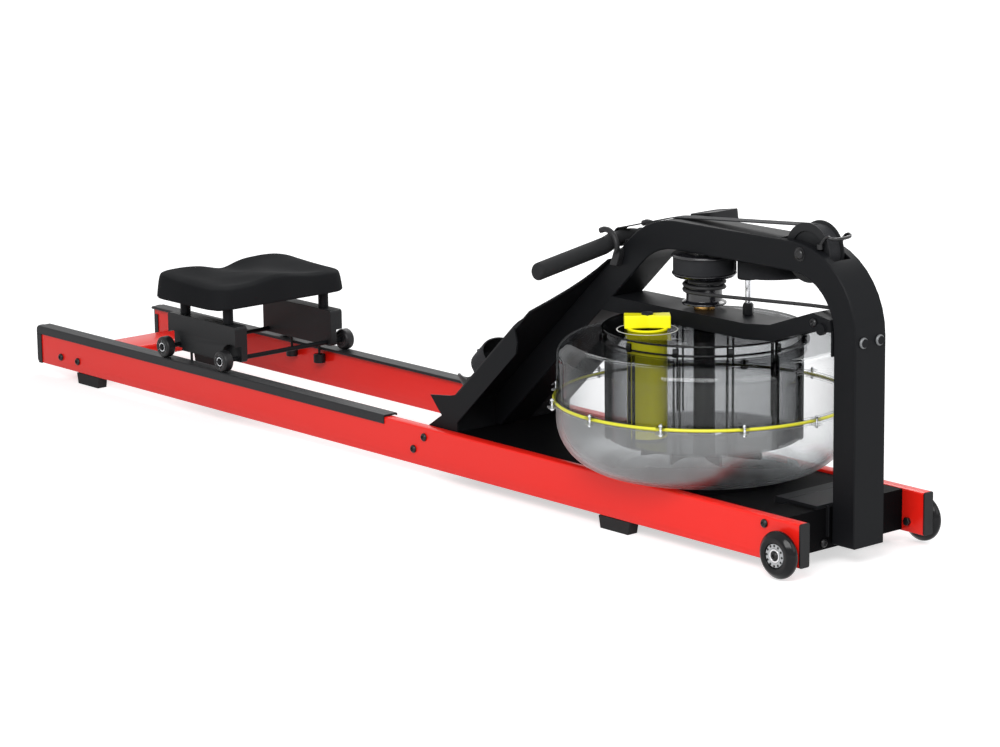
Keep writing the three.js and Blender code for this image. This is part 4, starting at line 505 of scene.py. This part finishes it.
def arc_points(centre, radius, start, end, steps):
    """Points along an arc about a centre in the outline's plane."""
    return [(centre[0] + radius * math.cos(start + (end - start) * i / steps),
             centre[1] + radius * math.sin(start + (end - start) * i / steps)) for i in range(steps + 1)]


def glazed(name, tint, edge, mirror=0.02, polish=0.03):
    """Clear sheet: see-through face on, with painted shade that darkens it near its outline, and
    mirror-like glints.
    """
    made = Finish(name, (0.9, 0.92, 0.93), 0.04, metal=1.0)
    made.set("Roughness", made.ramp(made.grain(3.0), polish, polish + 0.04))
    sheets = []
    # The second colour, edge, is painted shade, mixed in towards the outline.
    for colour in (tint, edge):
        sheets.append(made.node("ShaderNodeBsdfTransparent", None, {"Color": (*colour, 1)}))
    facing = made.node("ShaderNodeLayerWeight", None, {"Blend": 0.5}, out="Facing")
    body = made.node("ShaderNodeMixShader", None, (facing ** 2.4, *sheets))
    shine = made.node("ShaderNodeMixShader", None,
                      ((facing ** 5.0) * 0.42 + mirror, body, Wire(made, made.shader.outputs[0])))
    made.tree.links.new(shine.socket, made.tree.nodes["Material Output"].inputs["Surface"])
    return made


# Each shell's second colour is painted shade that darkens it towards its outline.
clear = glazed("tank_clear", (0.985, 0.986, 0.987), (0.36, 0.37, 0.38), 0.014)
clear_bowl = glazed("tank_bowl", (0.975, 0.977, 0.978), (0.5, 0.51, 0.52), 0.10, 0.34)
tank_x, _, ring_z = middle_of("tank_seal_ring")
tank_low, tank_top = levels_of("tank_lower_shell")[0], levels_of("tank_upper_shell")[1]
radius, wall, low_round, high_round, seam, plate, lip = 226.0, 3.5, 78.0, 26.0, 2.9, 2.6, 4.0
mouth, tight = 155.3, 0.3
bowl_turn, shoulder = (radius - low_round, tank_low + low_round), (radius - high_round,
                                                                   tank_top - high_round)
under, over, inside = ring_z - seam, ring_z + seam, radius - 0.3
lug_in, lug_out, lug_half, bolt_out, bolt_r, nut_r = 2.0, 17.0, 6.0, 10.5, 1.9, 3.2
QUARTER = math.pi / 2


def around(make, count=12):
    """Repeat a part about the tank axis; make returns the new vertices."""
    for i in range(count):
        bmesh.ops.rotate(bm, matrix=Matrix.Rotation(math.tau * i / count, 3, "Z"), cent=(tank_x, 0, 0),
                         verts=make())


def lug(low):
    """Makes one bolting lug whose underside is at a height."""
    return lambda: box_at(bm, tank_x + radius + lug_in, tank_x + radius + lug_out, -lug_half, lug_half,
                          low, low + plate)


bm = bmesh.new()
turn(bm, [(0, tank_low)] + arc_points(bowl_turn, low_round, -QUARTER, 0, 16)
     + eased([(radius, under - plate), (radius + lip, under - plate), (radius + lip, under),
              (inside, under), (inside, ring_z - tight), (radius - wall, ring_z - tight)], 0.4, 2)
     + arc_points(bowl_turn, low_round - wall, 0, -QUARTER, 16)
     + [(0, tank_low + wall)], (tank_x, 0, 0), "Z", 160)
around(lug(under - plate))
settle(bm, "tank_lower", clear_bowl, "frame", "smoke_clear", ["tank_lower_shell"])
bm = bmesh.new()
turn(bm, eased([(radius - wall, ring_z + tight), (inside, ring_z + tight), (inside, over),
                (radius + lip, over), (radius + lip, over + plate), (radius, over + plate)], 0.4, 2)
     + arc_points(shoulder, high_round, 0, QUARTER, 10)
     + [(mouth, tank_top), (mouth, tank_top - wall)]
     + arc_points(shoulder, high_round - wall, QUARTER, 0, 10), (tank_x, 0, 0), "Z", 160)
around(lug(over))
settle(bm, "tank_upper", clear, "frame", "smoke_clear", ["tank_upper_shell"])
bm = bmesh.new()
bolt = (tank_x + radius + bolt_out, 0, ring_z)
around(lambda: disc_of(bm, bolt_r, -9.4, 9.5, bolt, "Z", 16, 0.5)
       + disc_of(bm, nut_r, 5.6, 8.0, bolt, "Z", 6, 0.3)
       + disc_of(bm, nut_r, -8.2, -5.8, bolt, "Z", 6, 0.3))
settle(bm, "flange_bolts", steel, "frame", "steel")

# Seal ring
# Yellow rubber cord, round in section, laid in a ring.
# It is squeezed between the two flanges and seals the tank.
seal = Finish("seal_yellow", (0.68, 0.66, 0.03), 0.34)
seal.bump(seal.grain(300.0), 0.1, 0.0003)
bm = bmesh.new()
turn(bm, arc_points((radius + 2.9, 0), 2.5, 0, math.tau * 15 / 16, 15), (tank_x, 0, ring_z), "Z", 192)
settle(bm, "seal_ring", seal, "frame", "ring_yellow", ["tank_seal_ring"])

# Inner tank
# Smoke-tinted moulded drum: ribbed wall, raised lid with clips round its side, hung in the tank's mouth.
# A black sleeve in its middle goes round the drive shaft.
# The drum's second colour is painted shade that darkens it towards its outline.
smoke = glazed("drum_smoke", (0.76, 0.765, 0.77), (0.10, 0.102, 0.105), 0.002)
drum_low, lid_top = 138.0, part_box("inner_tank")[1].z * 1000
lid, drum_r, lid_r, sleeve_in, drum_hole = tank_top + 0.3, 149.0, 155.0, 11.5, 26.5
bm = bmesh.new()
turn(bm, eased([(sleeve_in, lid_top - 3), (lid_r - 3, lid_top - 3), (lid_r - 3, lid + 1.5),
                (drum_r - 3, lid - 4.5), (drum_r - 3, drum_low + 3), (drum_hole, drum_low + 3),
                (drum_hole, drum_low), (drum_r, drum_low), (drum_r, lid - 6), (lid_r, lid),
                (lid_r + 5, lid),
                (lid_r + 5, lid + 3), (lid_r, lid + 3), (lid_r, lid_top), (sleeve_in, lid_top)], 2.2, 3),
     (tank_x, 0, 0), "Z", 128)
settle(bm, "water_drum", smoke, "frame", "smoke_clear", ["inner_tank"], crease=28.0)
# The ribs, the beads round the lid and the clips are painted far darker than the drum: painted shade for
# the dark lines their edges show.
drum_detail_painted_shade = glazed("rib_painted_shade", (0.13, 0.135, 0.14), (0.02, 0.021, 0.022))
bead_r, rib_pair, rib_half, clip_half, clip_deep = 1.7, 4.5, 1.1, 4.5, 4.5
bm = bmesh.new()
for level in (lid_top - 1.6, lid + 4.6):
    turn(bm, arc_points((lid_r - 0.6, level), bead_r, 0, math.tau * 11 / 12, 11), (tank_x, 0, 0), "Z",
         128)
settle(bm, "lid_beads", drum_detail_painted_shade, "frame", "smoke_clear")
bm = bmesh.new()
for step in (-rib_pair, rib_pair):
    around(lambda: box_at(bm, tank_x + drum_r + 0.2, tank_x + lid_r - 0.6, step - rib_half,
                          step + rib_half, drum_low + 2, lid - 3))
settle(bm, "drum_ribs", drum_detail_painted_shade, "frame", "smoke_clear", bevel=0.4)
bm = bmesh.new()
around(lambda: box_at(bm, tank_x + lid_r - 0.5, tank_x + lid_r + clip_deep, -clip_half, clip_half,
                      lid + 1.6, lid + 15.5))
settle(bm, "lid_clips", drum_detail_painted_shade, "frame", "smoke_clear", bevel=1.4)
sleeve_out, sleeve_low, sleeve_top = 16.4, 135.0, lid_top - 0.2
bm = bmesh.new()
turn(bm, eased([(sleeve_in, sleeve_low), (sleeve_out, sleeve_low), (sleeve_out, sleeve_top),
                (sleeve_in, sleeve_top)], 0.5), (tank_x, 0, 0), "Z", 48)
settle(bm, "shaft_sleeve", moulded, "frame", "black_plastic")

# Adjuster
# Bright yellow plastic: a tube down into the tank, with a waisted wing knob above the lid.
# A black push button stands in the knob, and a white ring is printed on the lid round it.
valve_x, valve_y, _ = middle_of("adjuster_button")
knob_low, knob_top = lid_top + 0.6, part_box("adjuster")[1].z * 1000
yellow = Finish("bright_yellow", (0.96, 0.90, 0.006), 0.36, coat=0.1, specular=0.3)
yellow.bump(yellow.grain(700.0), 0.06, 0.0003)
tube_in, tube_out, tube_low, flange_r, flange_high = 27.5, 30.5, 142.6, 32.0, 3.0
bm = bmesh.new()
turn(bm, eased([(tube_in, tube_low), (tube_out, tube_low), (tube_out, knob_low), (flange_r, knob_low),
                (flange_r, knob_low + flange_high), (tube_in, knob_low + flange_high)], 0.6),
     (valve_x, valve_y, 0), "Z", 64)
settle(bm, "adjuster_tube", yellow, "adjuster_valve", "yellow", ["adjuster"])
wing_half, waist, wing_swell, wing_turn, wing_gap, button_r = 35.0, 18.4, 9.6, 49.0, 2.6, 9.0
outline = [(wing_half * (i / 8 - 1), -(waist + wing_swell * abs(i / 8 - 1) ** 0.8) / 2)
           for i in range(17)]
outline += [(x, -y) for x, y in reversed(outline)]
bm = bmesh.new()
wing = slab(bm, outline, "Z", knob_low + wing_gap, knob_top)
bmesh.ops.rotate(bm, matrix=Matrix.Rotation(math.radians(wing_turn), 3, "Z"), verts=wing)
bmesh.ops.translate(bm, vec=(valve_x, valve_y, 0), verts=wing)
settle(bm, "adjuster_knob", yellow, "adjuster_valve", "yellow", bevel=1.6, crease=40.0)
bm = bmesh.new()
disc_of(bm, button_r, knob_top - 4, knob_top + 3, (valve_x, valve_y, 0), "Z", 48, 1.0)
settle(bm, "knob_button", moulded, "adjuster_push", "black_plastic", ["adjuster_button"])
white = Finish("printed_white", (0.8, 0.8, 0.78), 0.5)
white.set("Roughness", white.ramp(white.grain(80.0), 0.4, 0.6))
print_in, print_out, print_low, print_top = 45.0, 46.8, lid_top + 0.05, lid_top + 0.3
bm = bmesh.new()
turn(bm, [(print_in, print_low), (print_out, print_low), (print_out, print_top), (print_in, print_top)],
     (valve_x, valve_y, 0), "Z", 96)
settle(bm, "printed_ring", white, "frame", "smoke_clear")

# Drive shaft, impeller and bearing
# Turned steel shaft that runs in a brass bush on the bracket.
# An eight-bladed moulded impeller is fixed on it, low in the tank.
shaft_low, shaft_top = levels_of("drive_shaft")
shaft_r, bore_r, bush_r = 9.0, 9.3, 16.0
bm = bmesh.new()
disc_of(bm, shaft_r, shaft_low, shaft_top, (tank_x, 0, 0), "Z", 48, 0.8)
settle(bm, "shaft", steel, "rotor", "steel", ["drive_shaft"])
dress("impeller", "paddle_wheel", moulded, "rotor", "black_plastic", bevel=0.6)
brass = Finish("brass_bush", (0.62, 0.36, 0.12), 0.25, metal=1.0)
brass.set("Roughness", brass.ramp(brass.grain(60.0), 0.2, 0.34))
bush_low, bush_top = levels_of("shaft_bearing")
bm = bmesh.new()
turn(bm, eased([(bore_r, bush_low), (bush_r, bush_low), (bush_r, bush_top - 0.6),
                (bush_r - 1.2, bush_top), (bore_r, bush_top)], 0.5), (tank_x, 0, 0), "Z", 64)
settle(bm, "brass_bush", brass, "frame", "brass", ["shaft_bearing"])

# Belt spool and bungee drum
# One glossy black moulding, bored for the shaft.
# A wide belt spool lies above a narrow drum for the bungee cord.
gloss_black = Finish("gloss_black", (0.007, 0.007, 0.009), 0.2, coat=0.3)
gloss_black.set("Roughness", gloss_black.ramp(gloss_black.grain(30.0), 0.16, 0.28))
spool_low, spool_high = levels_of("belt_spool")
cup, bungee_r, belt_r = spool_low + 44.5, 27.5, 34.8
bm = bmesh.new()
turn(bm, eased([(bore_r, spool_low), (34, spool_low), (34, spool_low + 3), (bungee_r, spool_low + 6),
                (bungee_r, cup - 4), (37, cup - 4), (46, cup - 1.5), (49.4, cup + 2.5), (49.4, cup + 4),
                (belt_r, cup + 4), (belt_r, spool_high - 4), (50, spool_high - 4), (50, spool_high - 2),
                (48.6, spool_high), (bore_r, spool_high)], 0.8), (tank_x, 0, 0), "Z", 96)
settle(bm, "spool_moulding", gloss_black, "spool", "black_plastic", ["belt_spool"])

# Belt
# One 24 mm woven black belt: wound on the spool, turned upright round the guide roller, twisted a
# quarter turn into the pulley, then over the arch to a sewn loop round the handle bar.
woven = Finish("woven_belt", (0.010, 0.0105, 0.012), 0.7, specular=0.2)
weft = woven.node("ShaderNodeTexWave", {"wave_type": "BANDS", "bands_direction": "DIAGONAL"},
                  {"Vector": woven.place(), "Scale": 420.0, "Distortion": 0.6})
woven.bump(weft, 0.5, 0.0005).tint(weft * 0.5, (0.035, 0.036, 0.04))
dress("belt_coil", "wound_belt", woven, "spool", "webbing", crease=50.0, bevel=0.2)
dress("belt_lower_run", "belt_to_pulley", woven, "frame", "webbing", crease=50.0, bevel=0.2)
belt = dress("belt_upper_run", "belt_to_handle", woven, "handle_assembly", "webbing", crease=50.0)
belt.parent = None
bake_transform(belt)

# Bungee cord
# Rubber cord in a woven sheath, which draws the handle back.
# It has its turns on the drum, then runs through an eye into the hollow column.
sheath = Finish("cord_sheath", (0.014, 0.014, 0.015), 0.66)
sheath.bump(sheath.node("ShaderNodeTexVoronoi", None, {"Vector": sheath.place(), "Scale": 900.0}), 0.3,
            0.0003)
dress("bungee_cord", "bungee", sheath, "frame", "rubber", crease=75.0)

# Guide roller and its post
# A flanged plastic roller that turns the belt towards the pulley.
# It runs on a bright steel post, which stands in a black hexagon nut on the bracket.
guide = middle_of("guide_roller")
roll_low, roll_top = levels_of("guide_roller")
roll_bore, roll_r, rim_r, post_r, collar_r, nut_wide, nut_high = 4.8, 14.0, 16.0, 4.5, 7.0, 8.5, 16.0
bm = bmesh.new()
turn(bm, eased([(roll_bore, roll_low), (rim_r, roll_low), (rim_r, roll_low + 2), (roll_r, roll_low + 2.6),
                (roll_r, roll_top - 2.6), (rim_r, roll_top - 2), (rim_r, roll_top),
                (roll_bore, roll_top)], 0.5),
     (guide.x, guide.y, 0), "Z", 48)
settle(bm, "belt_roller", moulded, "guide_wheel", "black_plastic", ["guide_roller"])
post_low, post_top = levels_of("guide_post")
bm = bmesh.new()
disc_of(bm, post_r, post_low + nut_high / 2, post_top, (guide.x, guide.y, 0), "Z", 32, 0.5)
settle(bm, "steel_post", steel, "frame", "steel", ["guide_post"])
bm = bmesh.new()
disc_of(bm, nut_wide, post_low, post_low + nut_high, (guide.x, guide.y, 0), "Z", 6, 1.0)
disc_of(bm, collar_r, post_low + nut_high - 1, post_low + nut_high + 2, (guide.x, guide.y, 0), "Z", 32,
        1.0)
settle(bm, "post_nut", moulded, "frame", "black_plastic")

# Top pulley, axle and retainer
# A black moulded pulley with wide flanges turns on a bolt through the arch.
# A bent steel wire over it keeps the belt in its groove.
pulley = middle_of("top_pulley")
pulley_bore, boss_r, web_r, groove_r, cheek_r = 4.3, 13.0, 32.0, 38.0, 44.5
pulley_half, web_half = 15.7, 13.0
half = [(groove_r, 12.7), (cheek_r, 14.2), (cheek_r, pulley_half), (web_r, pulley_half),
        (web_r, web_half), (boss_r, web_half), (boss_r, pulley_half), (pulley_bore, pulley_half)]
bm = bmesh.new()
turn(bm, eased([(r, -y) for r, y in reversed(half)] + half, 0.6), tuple(pulley), "Y", 96)
settle(bm, "belt_pulley", moulded, "pulley_wheel", "black_plastic", ["top_pulley"])
axle_r, axle_half, axle_head, washer_r, washer_out = 4.0, 36.0, 1.22, 10.2, 31.9
spacer_r, spacer_in, spacer_out = 7.0, 16.1, 28.6
bm = bmesh.new()
disc_of(bm, axle_r, -axle_half, axle_half, tuple(pulley), "Y", 24)
for sign in SIDES.values():
    axis = OUTWARD[sign]
    turn(bm, [(r * axle_head, h) for r, h in HEAD], (pulley.x, sign * (washer_out + 0.3), pulley.z), axis,
         32)
    turn(bm, [(0, 0), (washer_r, 0), (washer_r, 0.9), (0, 0.9)], (pulley.x, sign * washer_out, pulley.z),
         axis, 32)
    disc_of(bm, spacer_r, spacer_in, spacer_out, (pulley.x, 0, pulley.z), axis, 24)
settle(bm, "axle_bolt", screw_black, "frame", "black_paint", ["pulley_axle"])
dress("belt_retainer", "retainer_wire", screw_black, "frame", "black_paint", crease=75.0)

# Handle and its rest
# Bent steel bar in black foam, with long grips at both ends.
# It hangs in two hooks of a rubber-covered wire, which is held on the arch by rubber saddles.
foam = Finish("grip_foam", (0.0135, 0.014, 0.015), 0.8, specular=0.2)
foam.bump(foam.grain(520.0, 4.0), 0.3, 0.0006)
bar_half, grip_start, grip_r, bar_r, bar_round = 208.0, 30.0, 13.5, 11.0, 7.0
bend_out, bend_back, bend_drop, sweep_back, sweep_drop = 45.0, 4.0, 8.4, 20.0, 18.6
bar_x = (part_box("handle")[0].x + 0.0105) * 1000
bar_z = (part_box("handle")[1].z - 0.011) * 1000


def bar_place(y):
    """Where the bent bar runs at a distance from its middle."""
    bend = min(abs(y) / bend_out, 1)
    rest = max(abs(y) - bend_out, 0) / (bar_half - 1 - bend_out)
    return (bar_x + bend_back * bend ** 2 + sweep_back * rest,
            bar_z - bend_drop * bend ** 2 - sweep_drop * rest)


half = [(bar_r, 0.0), (bar_r, 10.0), (bar_r, 20.0), (bar_r, grip_start - 2), (grip_r - 0.8, grip_start),
        (grip_r, grip_start + 2)]
half += [(grip_r, grip_start + 10.0 * k) for k in range(1, 17)]
half += [(grip_r, bar_half - 12)]
half += [(grip_r - bar_round + bar_round * math.cos(a), bar_half - bar_round + bar_round * math.sin(a))
         for a in (0, 0.4, 0.8, 1.2, QUARTER)] + [(0, bar_half)]
bm = bmesh.new()
turn(bm, [(r, -y) for r, y in reversed(half)] + half[1:], (0, 0, 0), "Y", 40)
for v in bm.verts:
    x, z = bar_place(v.co.y)
    v.co.x, v.co.z = v.co.x + x, v.co.z + z
settle(bm, "pull_bar", foam, "handle_assembly", "foam", ["handle"], crease=60.0)
hook_rubber = Finish("hook_rubber", (0.011, 0.011, 0.012), 0.5, specular=0.3)
hook_rubber.bump(hook_rubber.grain(700.0, 3.0), 0.2, 0.0004)
hook_half, hook_thick, hook_reach, saddle_in, saddle_out = 45.0, 4.6, 24.5, 32.3, 44.0
saddle = ((-17, -24), (-1, -24), (5, -6), (5, 4), (-7, 1))
hook_x, hook_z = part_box("handle_rest")[1].x * 1000 - 4.3, bar_z - 15.0


def drawn(points, thick):
    """Sweep a round wire through a row of points and close its ends."""
    data = bpy.data.curves.new("wire", "CURVE")
    data.dimensions, data.use_fill_caps = "3D", True
    data.bevel_depth, data.bevel_resolution = thick, 4
    line = data.splines.new("BEZIER")
    line.resolution_u = 6
    line.bezier_points.add(len(points) - 1)
    for knot, point in zip(line.bezier_points, points):
        knot.co, knot.handle_left_type, knot.handle_right_type = point, "AUTO", "AUTO"
    holder = bpy.data.objects.new("wire", data)
    bm = bmesh.new()
    bm.from_mesh(holder.to_mesh())
    holder.to_mesh_clear()
    bpy.data.objects.remove(holder)
    bpy.data.curves.remove(data)
    return bm


grab_x, grab_z = bar_place(hook_half)
side_points = [(hook_x, y, hook_z) for y in (0.0, hook_half * 0.6, hook_half - 3.3)]
side_points += [(grab_x + hook_reach * math.cos(math.radians(a)), hook_half,
                 grab_z + hook_reach * math.sin(math.radians(a)))
                for a in (5, 35, 65, 92, 118)]
bm = drawn([(x, -y, z) for x, y, z in reversed(side_points[1:])] + side_points, hook_thick)
settle(bm, "handle_hooks", hook_rubber, "frame", "rubber", ["handle_rest"], crease=50.0)
bm = bmesh.new()
for sign in SIDES.values():
    slab(bm, [(hook_x + x, hook_z + z) for x, z in saddle], "Y", sign * saddle_in, sign * saddle_out)
settle(bm, "hook_saddles", hook_rubber, "frame", "rubber", bevel=1.8)

# Foot frame, footrests, heel cups and straps
# Folded steel panel between two side plates, screwed to the rails.
# On it lie ribbed plastic footrests with sliding heel cups, and webbing straps with short free tails.
foot_spots = [(134.75, 70.0), (107.75, 46.0)]
tail_half, tail_thick, tail_top, tail_low, tail_inset, tail_lean = 19.0, 2.0, 30.0, -2.0, 7.0, 7.0
settle(between_rails("foot_frame"), "foot_panel", black, "frame", "black_paint", ["foot_frame"],
       bevel=0.6)
rail_screws("foot_screws", foot_spots)
for side, sign in SIDES.items():
    dress(f"footrest_{side}", f"footrest_pad_{side}", moulded, "frame", "black_plastic", bevel=0.8)
    dress(f"heel_cup_{side}", f"heel_holder_{side}", moulded, f"heel_{side}", "black_plastic", bevel=0.8,
          crease=40.0)
    dress(f"foot_strap_{side}", f"strap_{side}", woven, "frame", "webbing", bevel=0.5, crease=50.0)
    strap_low, strap_high = (corner * 1000 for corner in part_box(f"foot_strap_{side}"))
    tail_x, tail_y = strap_low.x - 0.9, (strap_low.y + strap_high.y) / 2 - sign * tail_inset
    bm = bmesh.new()
    tail = box_at(bm, tail_x, tail_x + tail_thick, tail_y - tail_half, tail_y + tail_half,
                  strap_low.z + tail_low, strap_low.z + tail_top)
    bmesh.ops.rotate(bm, matrix=Matrix.Rotation(math.radians(tail_lean), 3, "Y"),
                     cent=(strap_low.x, 0, strap_low.z + tail_top), verts=tail)
    settle(bm, f"strap_tail_{side}", woven, "frame", "webbing", bevel=0.5)

# Monitor
# A small black plastic display with rounded edges; its screen stays blank.
# A folded steel arm holds it at the far side of the beam.
dress("monitor_arm", "display_arm", black, "frame", "black_paint", bevel=0.5)
dress("monitor", "display", moulded, "frame", "black_plastic", bevel=2.6)

# Seat carriage
# Two moulded side blocks on steel axles, with four rubber wheels on bearings.
# Steel posts go up from the blocks to the folded seat plate.
wheel_rubber = Finish("seat_wheel_black", (0.011, 0.011, 0.012), 0.42, specular=0.25)
wheel_rubber.bump(wheel_rubber.grain(500.0), 0.1, 0.0003)
wheel_in, marks, mark_in, mark_out, mark_half = 124.0, 6, 9.6, 12.6, 0.45
rod_r, rod_half, rod_nut_r, rod_nut_in, rod_nut_out = 4.0, 144.0, 5.4, 141.5, 144.6
for end in ("rear", "front"):
    for side, sign in SIDES.items():
        node = f"seat_wheel_{end}_{side}"
        centre = middle_of(node)
        axis = OUTWARD[sign]
        spot = (centre.x, sign * wheel_in, centre.z)
        bm = bmesh.new()
        turn(bm, eased([(9.3, 0), (15.5, 0), (18.5, 3), (18.5, 16), (15.5, 19), (9.3, 18.2)], 1.6, 4),
             spot, axis, 64)
        settle(bm, f"seat_roller_{end}_{side}", wheel_rubber, f"wheel_{end}_{side}", "rubber", [node])
        bm = bmesh.new()
        turn(bm, eased([(4.3, 0.6), (9.2, 0.6), (9.2, 18.0), (7.9, 18.3), (7.2, 17.6), (4.3, 17.6)], 0.3),
             spot, axis, 40)
        settle(bm, f"seat_bearing_{end}_{side}", moulded, f"wheel_{end}_{side}", "black_plastic")
        bm = bmesh.new()
        turn(bm, eased([(6.3, 17.6), (7.9, 17.6), (7.9, 18.7), (6.3, 18.7)], 0.3), spot, axis, 40)
        settle(bm, f"seat_wheel_ring_{end}_{side}", steel, f"wheel_{end}_{side}", "steel")
        bm = bmesh.new()
        for k in range(marks):
            tick = box_at(bm, mark_in, mark_out, -mark_half, mark_half, 18.2, 19.15)
            bmesh.ops.rotate(bm, matrix=Matrix.Rotation(math.tau * (k + 0.5) / marks, 3, "Z"),
                             cent=(0, 0, 0), verts=tick)
            bmesh.ops.rotate(bm, matrix=Matrix.Rotation(-sign * math.pi / 2, 3, "X"), verts=tick)
            bmesh.ops.translate(bm, vec=spot, verts=tick)
        settle(bm, f"seat_wheel_marks_{end}_{side}", grey, f"wheel_{end}_{side}", "steel")
    node = f"seat_axle_{end}"
    centre = middle_of(node)
    bm = bmesh.new()
    disc_of(bm, rod_r, -rod_half, rod_half, (centre.x, 0, centre.z), "Y", 24)
    for axis in OUTWARD.values():
        disc_of(bm, rod_nut_r, rod_nut_in, rod_nut_out, (centre.x, 0, centre.z), axis, 6, 0.4)
    settle(bm, f"seat_rod_{end}", black, "seat", "black_paint", [node])
for side in SIDES:
    dress(f"carriage_block_{side}", f"seat_block_{side}", moulded, "seat", "black_plastic", bevel=1.2)
dress("seat_plate", "seat_frame", black, "seat", "black_paint", bevel=0.6)

# Cushion
# Moulded foam seat in a matt black skin, fixed on the seat plate.
# It has two sitting hollows, a raised middle and drawn-in sides.
skin = Finish("seat_skin", (0.0112, 0.0117, 0.0128), 0.8, specular=0.05)
skin.set("Roughness", skin.ramp(skin.grain(9.0, 2.0), 0.7, 0.85))
skin.bump(skin.grain(420.0, 5.0), 0.18, 0.0005)
bm = bmesh.new()
bm.from_mesh(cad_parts["seat_cushion"].data)
scaled(bm, 1000)
bmesh.ops.remove_doubles(bm, verts=bm.verts, dist=0.01)
bmesh.ops.join_triangles(bm, faces=bm.faces, angle_face_threshold=0.7, angle_shape_threshold=0.9)
pad_x, spread = -511.75, (1.012, 1.018, 1.0)
bmesh.ops.scale(bm, vec=spread, space=Matrix.Translation((-pad_x, 0, 0)), verts=bm.verts)
pad_low = min(v.co.z for v in bm.verts)
rim_crease, fold_crease = 0.85, 0.3
firm = bm.edges.layers.float.new("crease_edge")
for edge in bm.edges:
    turned_by = edge.calc_face_angle(0.0)
    if max(v.co.z for v in edge.verts) < pad_low + 0.5 and turned_by > 0.9:
        edge[firm] = rim_crease
    elif turned_by > 0.5:
        edge[firm] = fold_crease
cushion = settle(bm, "seat_pad", skin, "seat", "cushion", ["seat_cushion"], crease=180.0)
soft = cushion.modifiers.new("soft", "SUBSURF")
soft.levels = soft.render_levels = 2

# Studio
# Plain pale floor, soft lamps and a pale surround, which the clear and glossy pieces show too.
# The camera stands where the photographer stood.
floor_white = Finish("floor_white", (0.66, 0.66, 0.66), 0.9, specular=0.0)


def background_rays(tree):
    """1 for rays from the camera or sent on by glossy and clear surfaces, 0 for light on the object."""
    camera_ray, glossy, through = (tree.node("ShaderNodeLightPath", out=f"Is {kind} Ray")
                                   for kind in ("Camera", "Glossy", "Transmission"))
    return tree.node("ShaderNodeMath", {"operation": "ADD", "use_clamp": True},
                     (camera_ray + glossy, through))


reach = floor_white.node("ShaderNodeVectorMath", {"operation": "LENGTH"}, (floor_white.place(),),
                         out="Value")
glow = floor_white.node("ShaderNodeMapRange", {"interpolation_type": "SMOOTHSTEP"},
                        {"Value": reach, "From Min": 1.1, "From Max": 3.5, "To Min": 0.6, "To Max": 0.95})
floor_white.set("Emission Color", background_rays(floor_white) * glow)
floor_white.set("Emission Strength", 1.0)
bm = bmesh.new()
bmesh.ops.create_grid(bm, x_segments=1, y_segments=1, size=30.0)
floor_mesh = bpy.data.meshes.new("floor")
bm.to_mesh(floor_mesh)
bm.free()
floor = bpy.data.objects.new("floor", floor_mesh)
bpy.context.scene.collection.objects.link(floor)
floor_mesh.materials.append(floor_white.material)

world = bpy.data.worlds.new("studio")
bpy.context.scene.world = world
world.use_nodes = True
studio = Finish.__new__(Finish)
studio.tree = world.node_tree
shade = studio.node("ShaderNodeMix", {"data_type": "RGBA"},
                    {0: background_rays(studio), 6: (0.42, 0.42, 0.43, 1), 7: (1, 1, 1, 1)}, out=2)
world.node_tree.links.new(shade.socket, world.node_tree.nodes["Background"].inputs["Color"])


def lamp(name, power, size, place, target):
    """A soft rectangular lamp that looks at a target; places are in metres."""
    data = bpy.data.lights.new(name, "AREA")
    data.energy, data.shape, data.size, data.size_y = power, "RECTANGLE", *size
    made = bpy.data.objects.new(name, data)
    made.location = place
    made.rotation_euler = (Vector(target) - Vector(place)).to_track_quat("-Z", "Y").to_euler()
    bpy.context.scene.collection.objects.link(made)


lamp("key", 106, (2.4, 1.6), (2.2, -2.5, 2.3), (0.5, 0, 0.2))
lamp("fill", 32, (3.0, 2.0), (3.2, 0.6, 1.8), (0.3, 0, 0.25))
lamp("back", 50, (3.0, 1.2), (-1.2, 2.4, 2.4), (0.0, 0, 0.2))

camera_spot, lens = (4.29765, -3.5886, 1.3655), 124.11
yaw, pitch, roll = math.radians(49.067), math.radians(12.441), math.radians(-0.694)
ahead = Vector((-math.sin(yaw) * math.cos(pitch), math.cos(yaw) * math.cos(pitch), -math.sin(pitch)))
right = Vector((math.cos(yaw), math.sin(yaw), 0))
upward = right.cross(ahead)
camera_data = bpy.data.cameras.new("camera")
camera_data.sensor_width, camera_data.lens = 36.0, lens
camera_data.clip_end = 100.0
camera = bpy.data.objects.new("camera", camera_data)
turned = Matrix((right * math.cos(roll) + upward * math.sin(roll),
                 upward * math.cos(roll) - right * math.sin(roll), -ahead)).transposed().to_4x4()
camera.matrix_world = Matrix.Translation(camera_spot) @ turned
bpy.context.scene.collection.objects.link(camera)
bpy.context.scene.camera = camera
bpy.context.scene.view_settings.view_transform = "Standard"
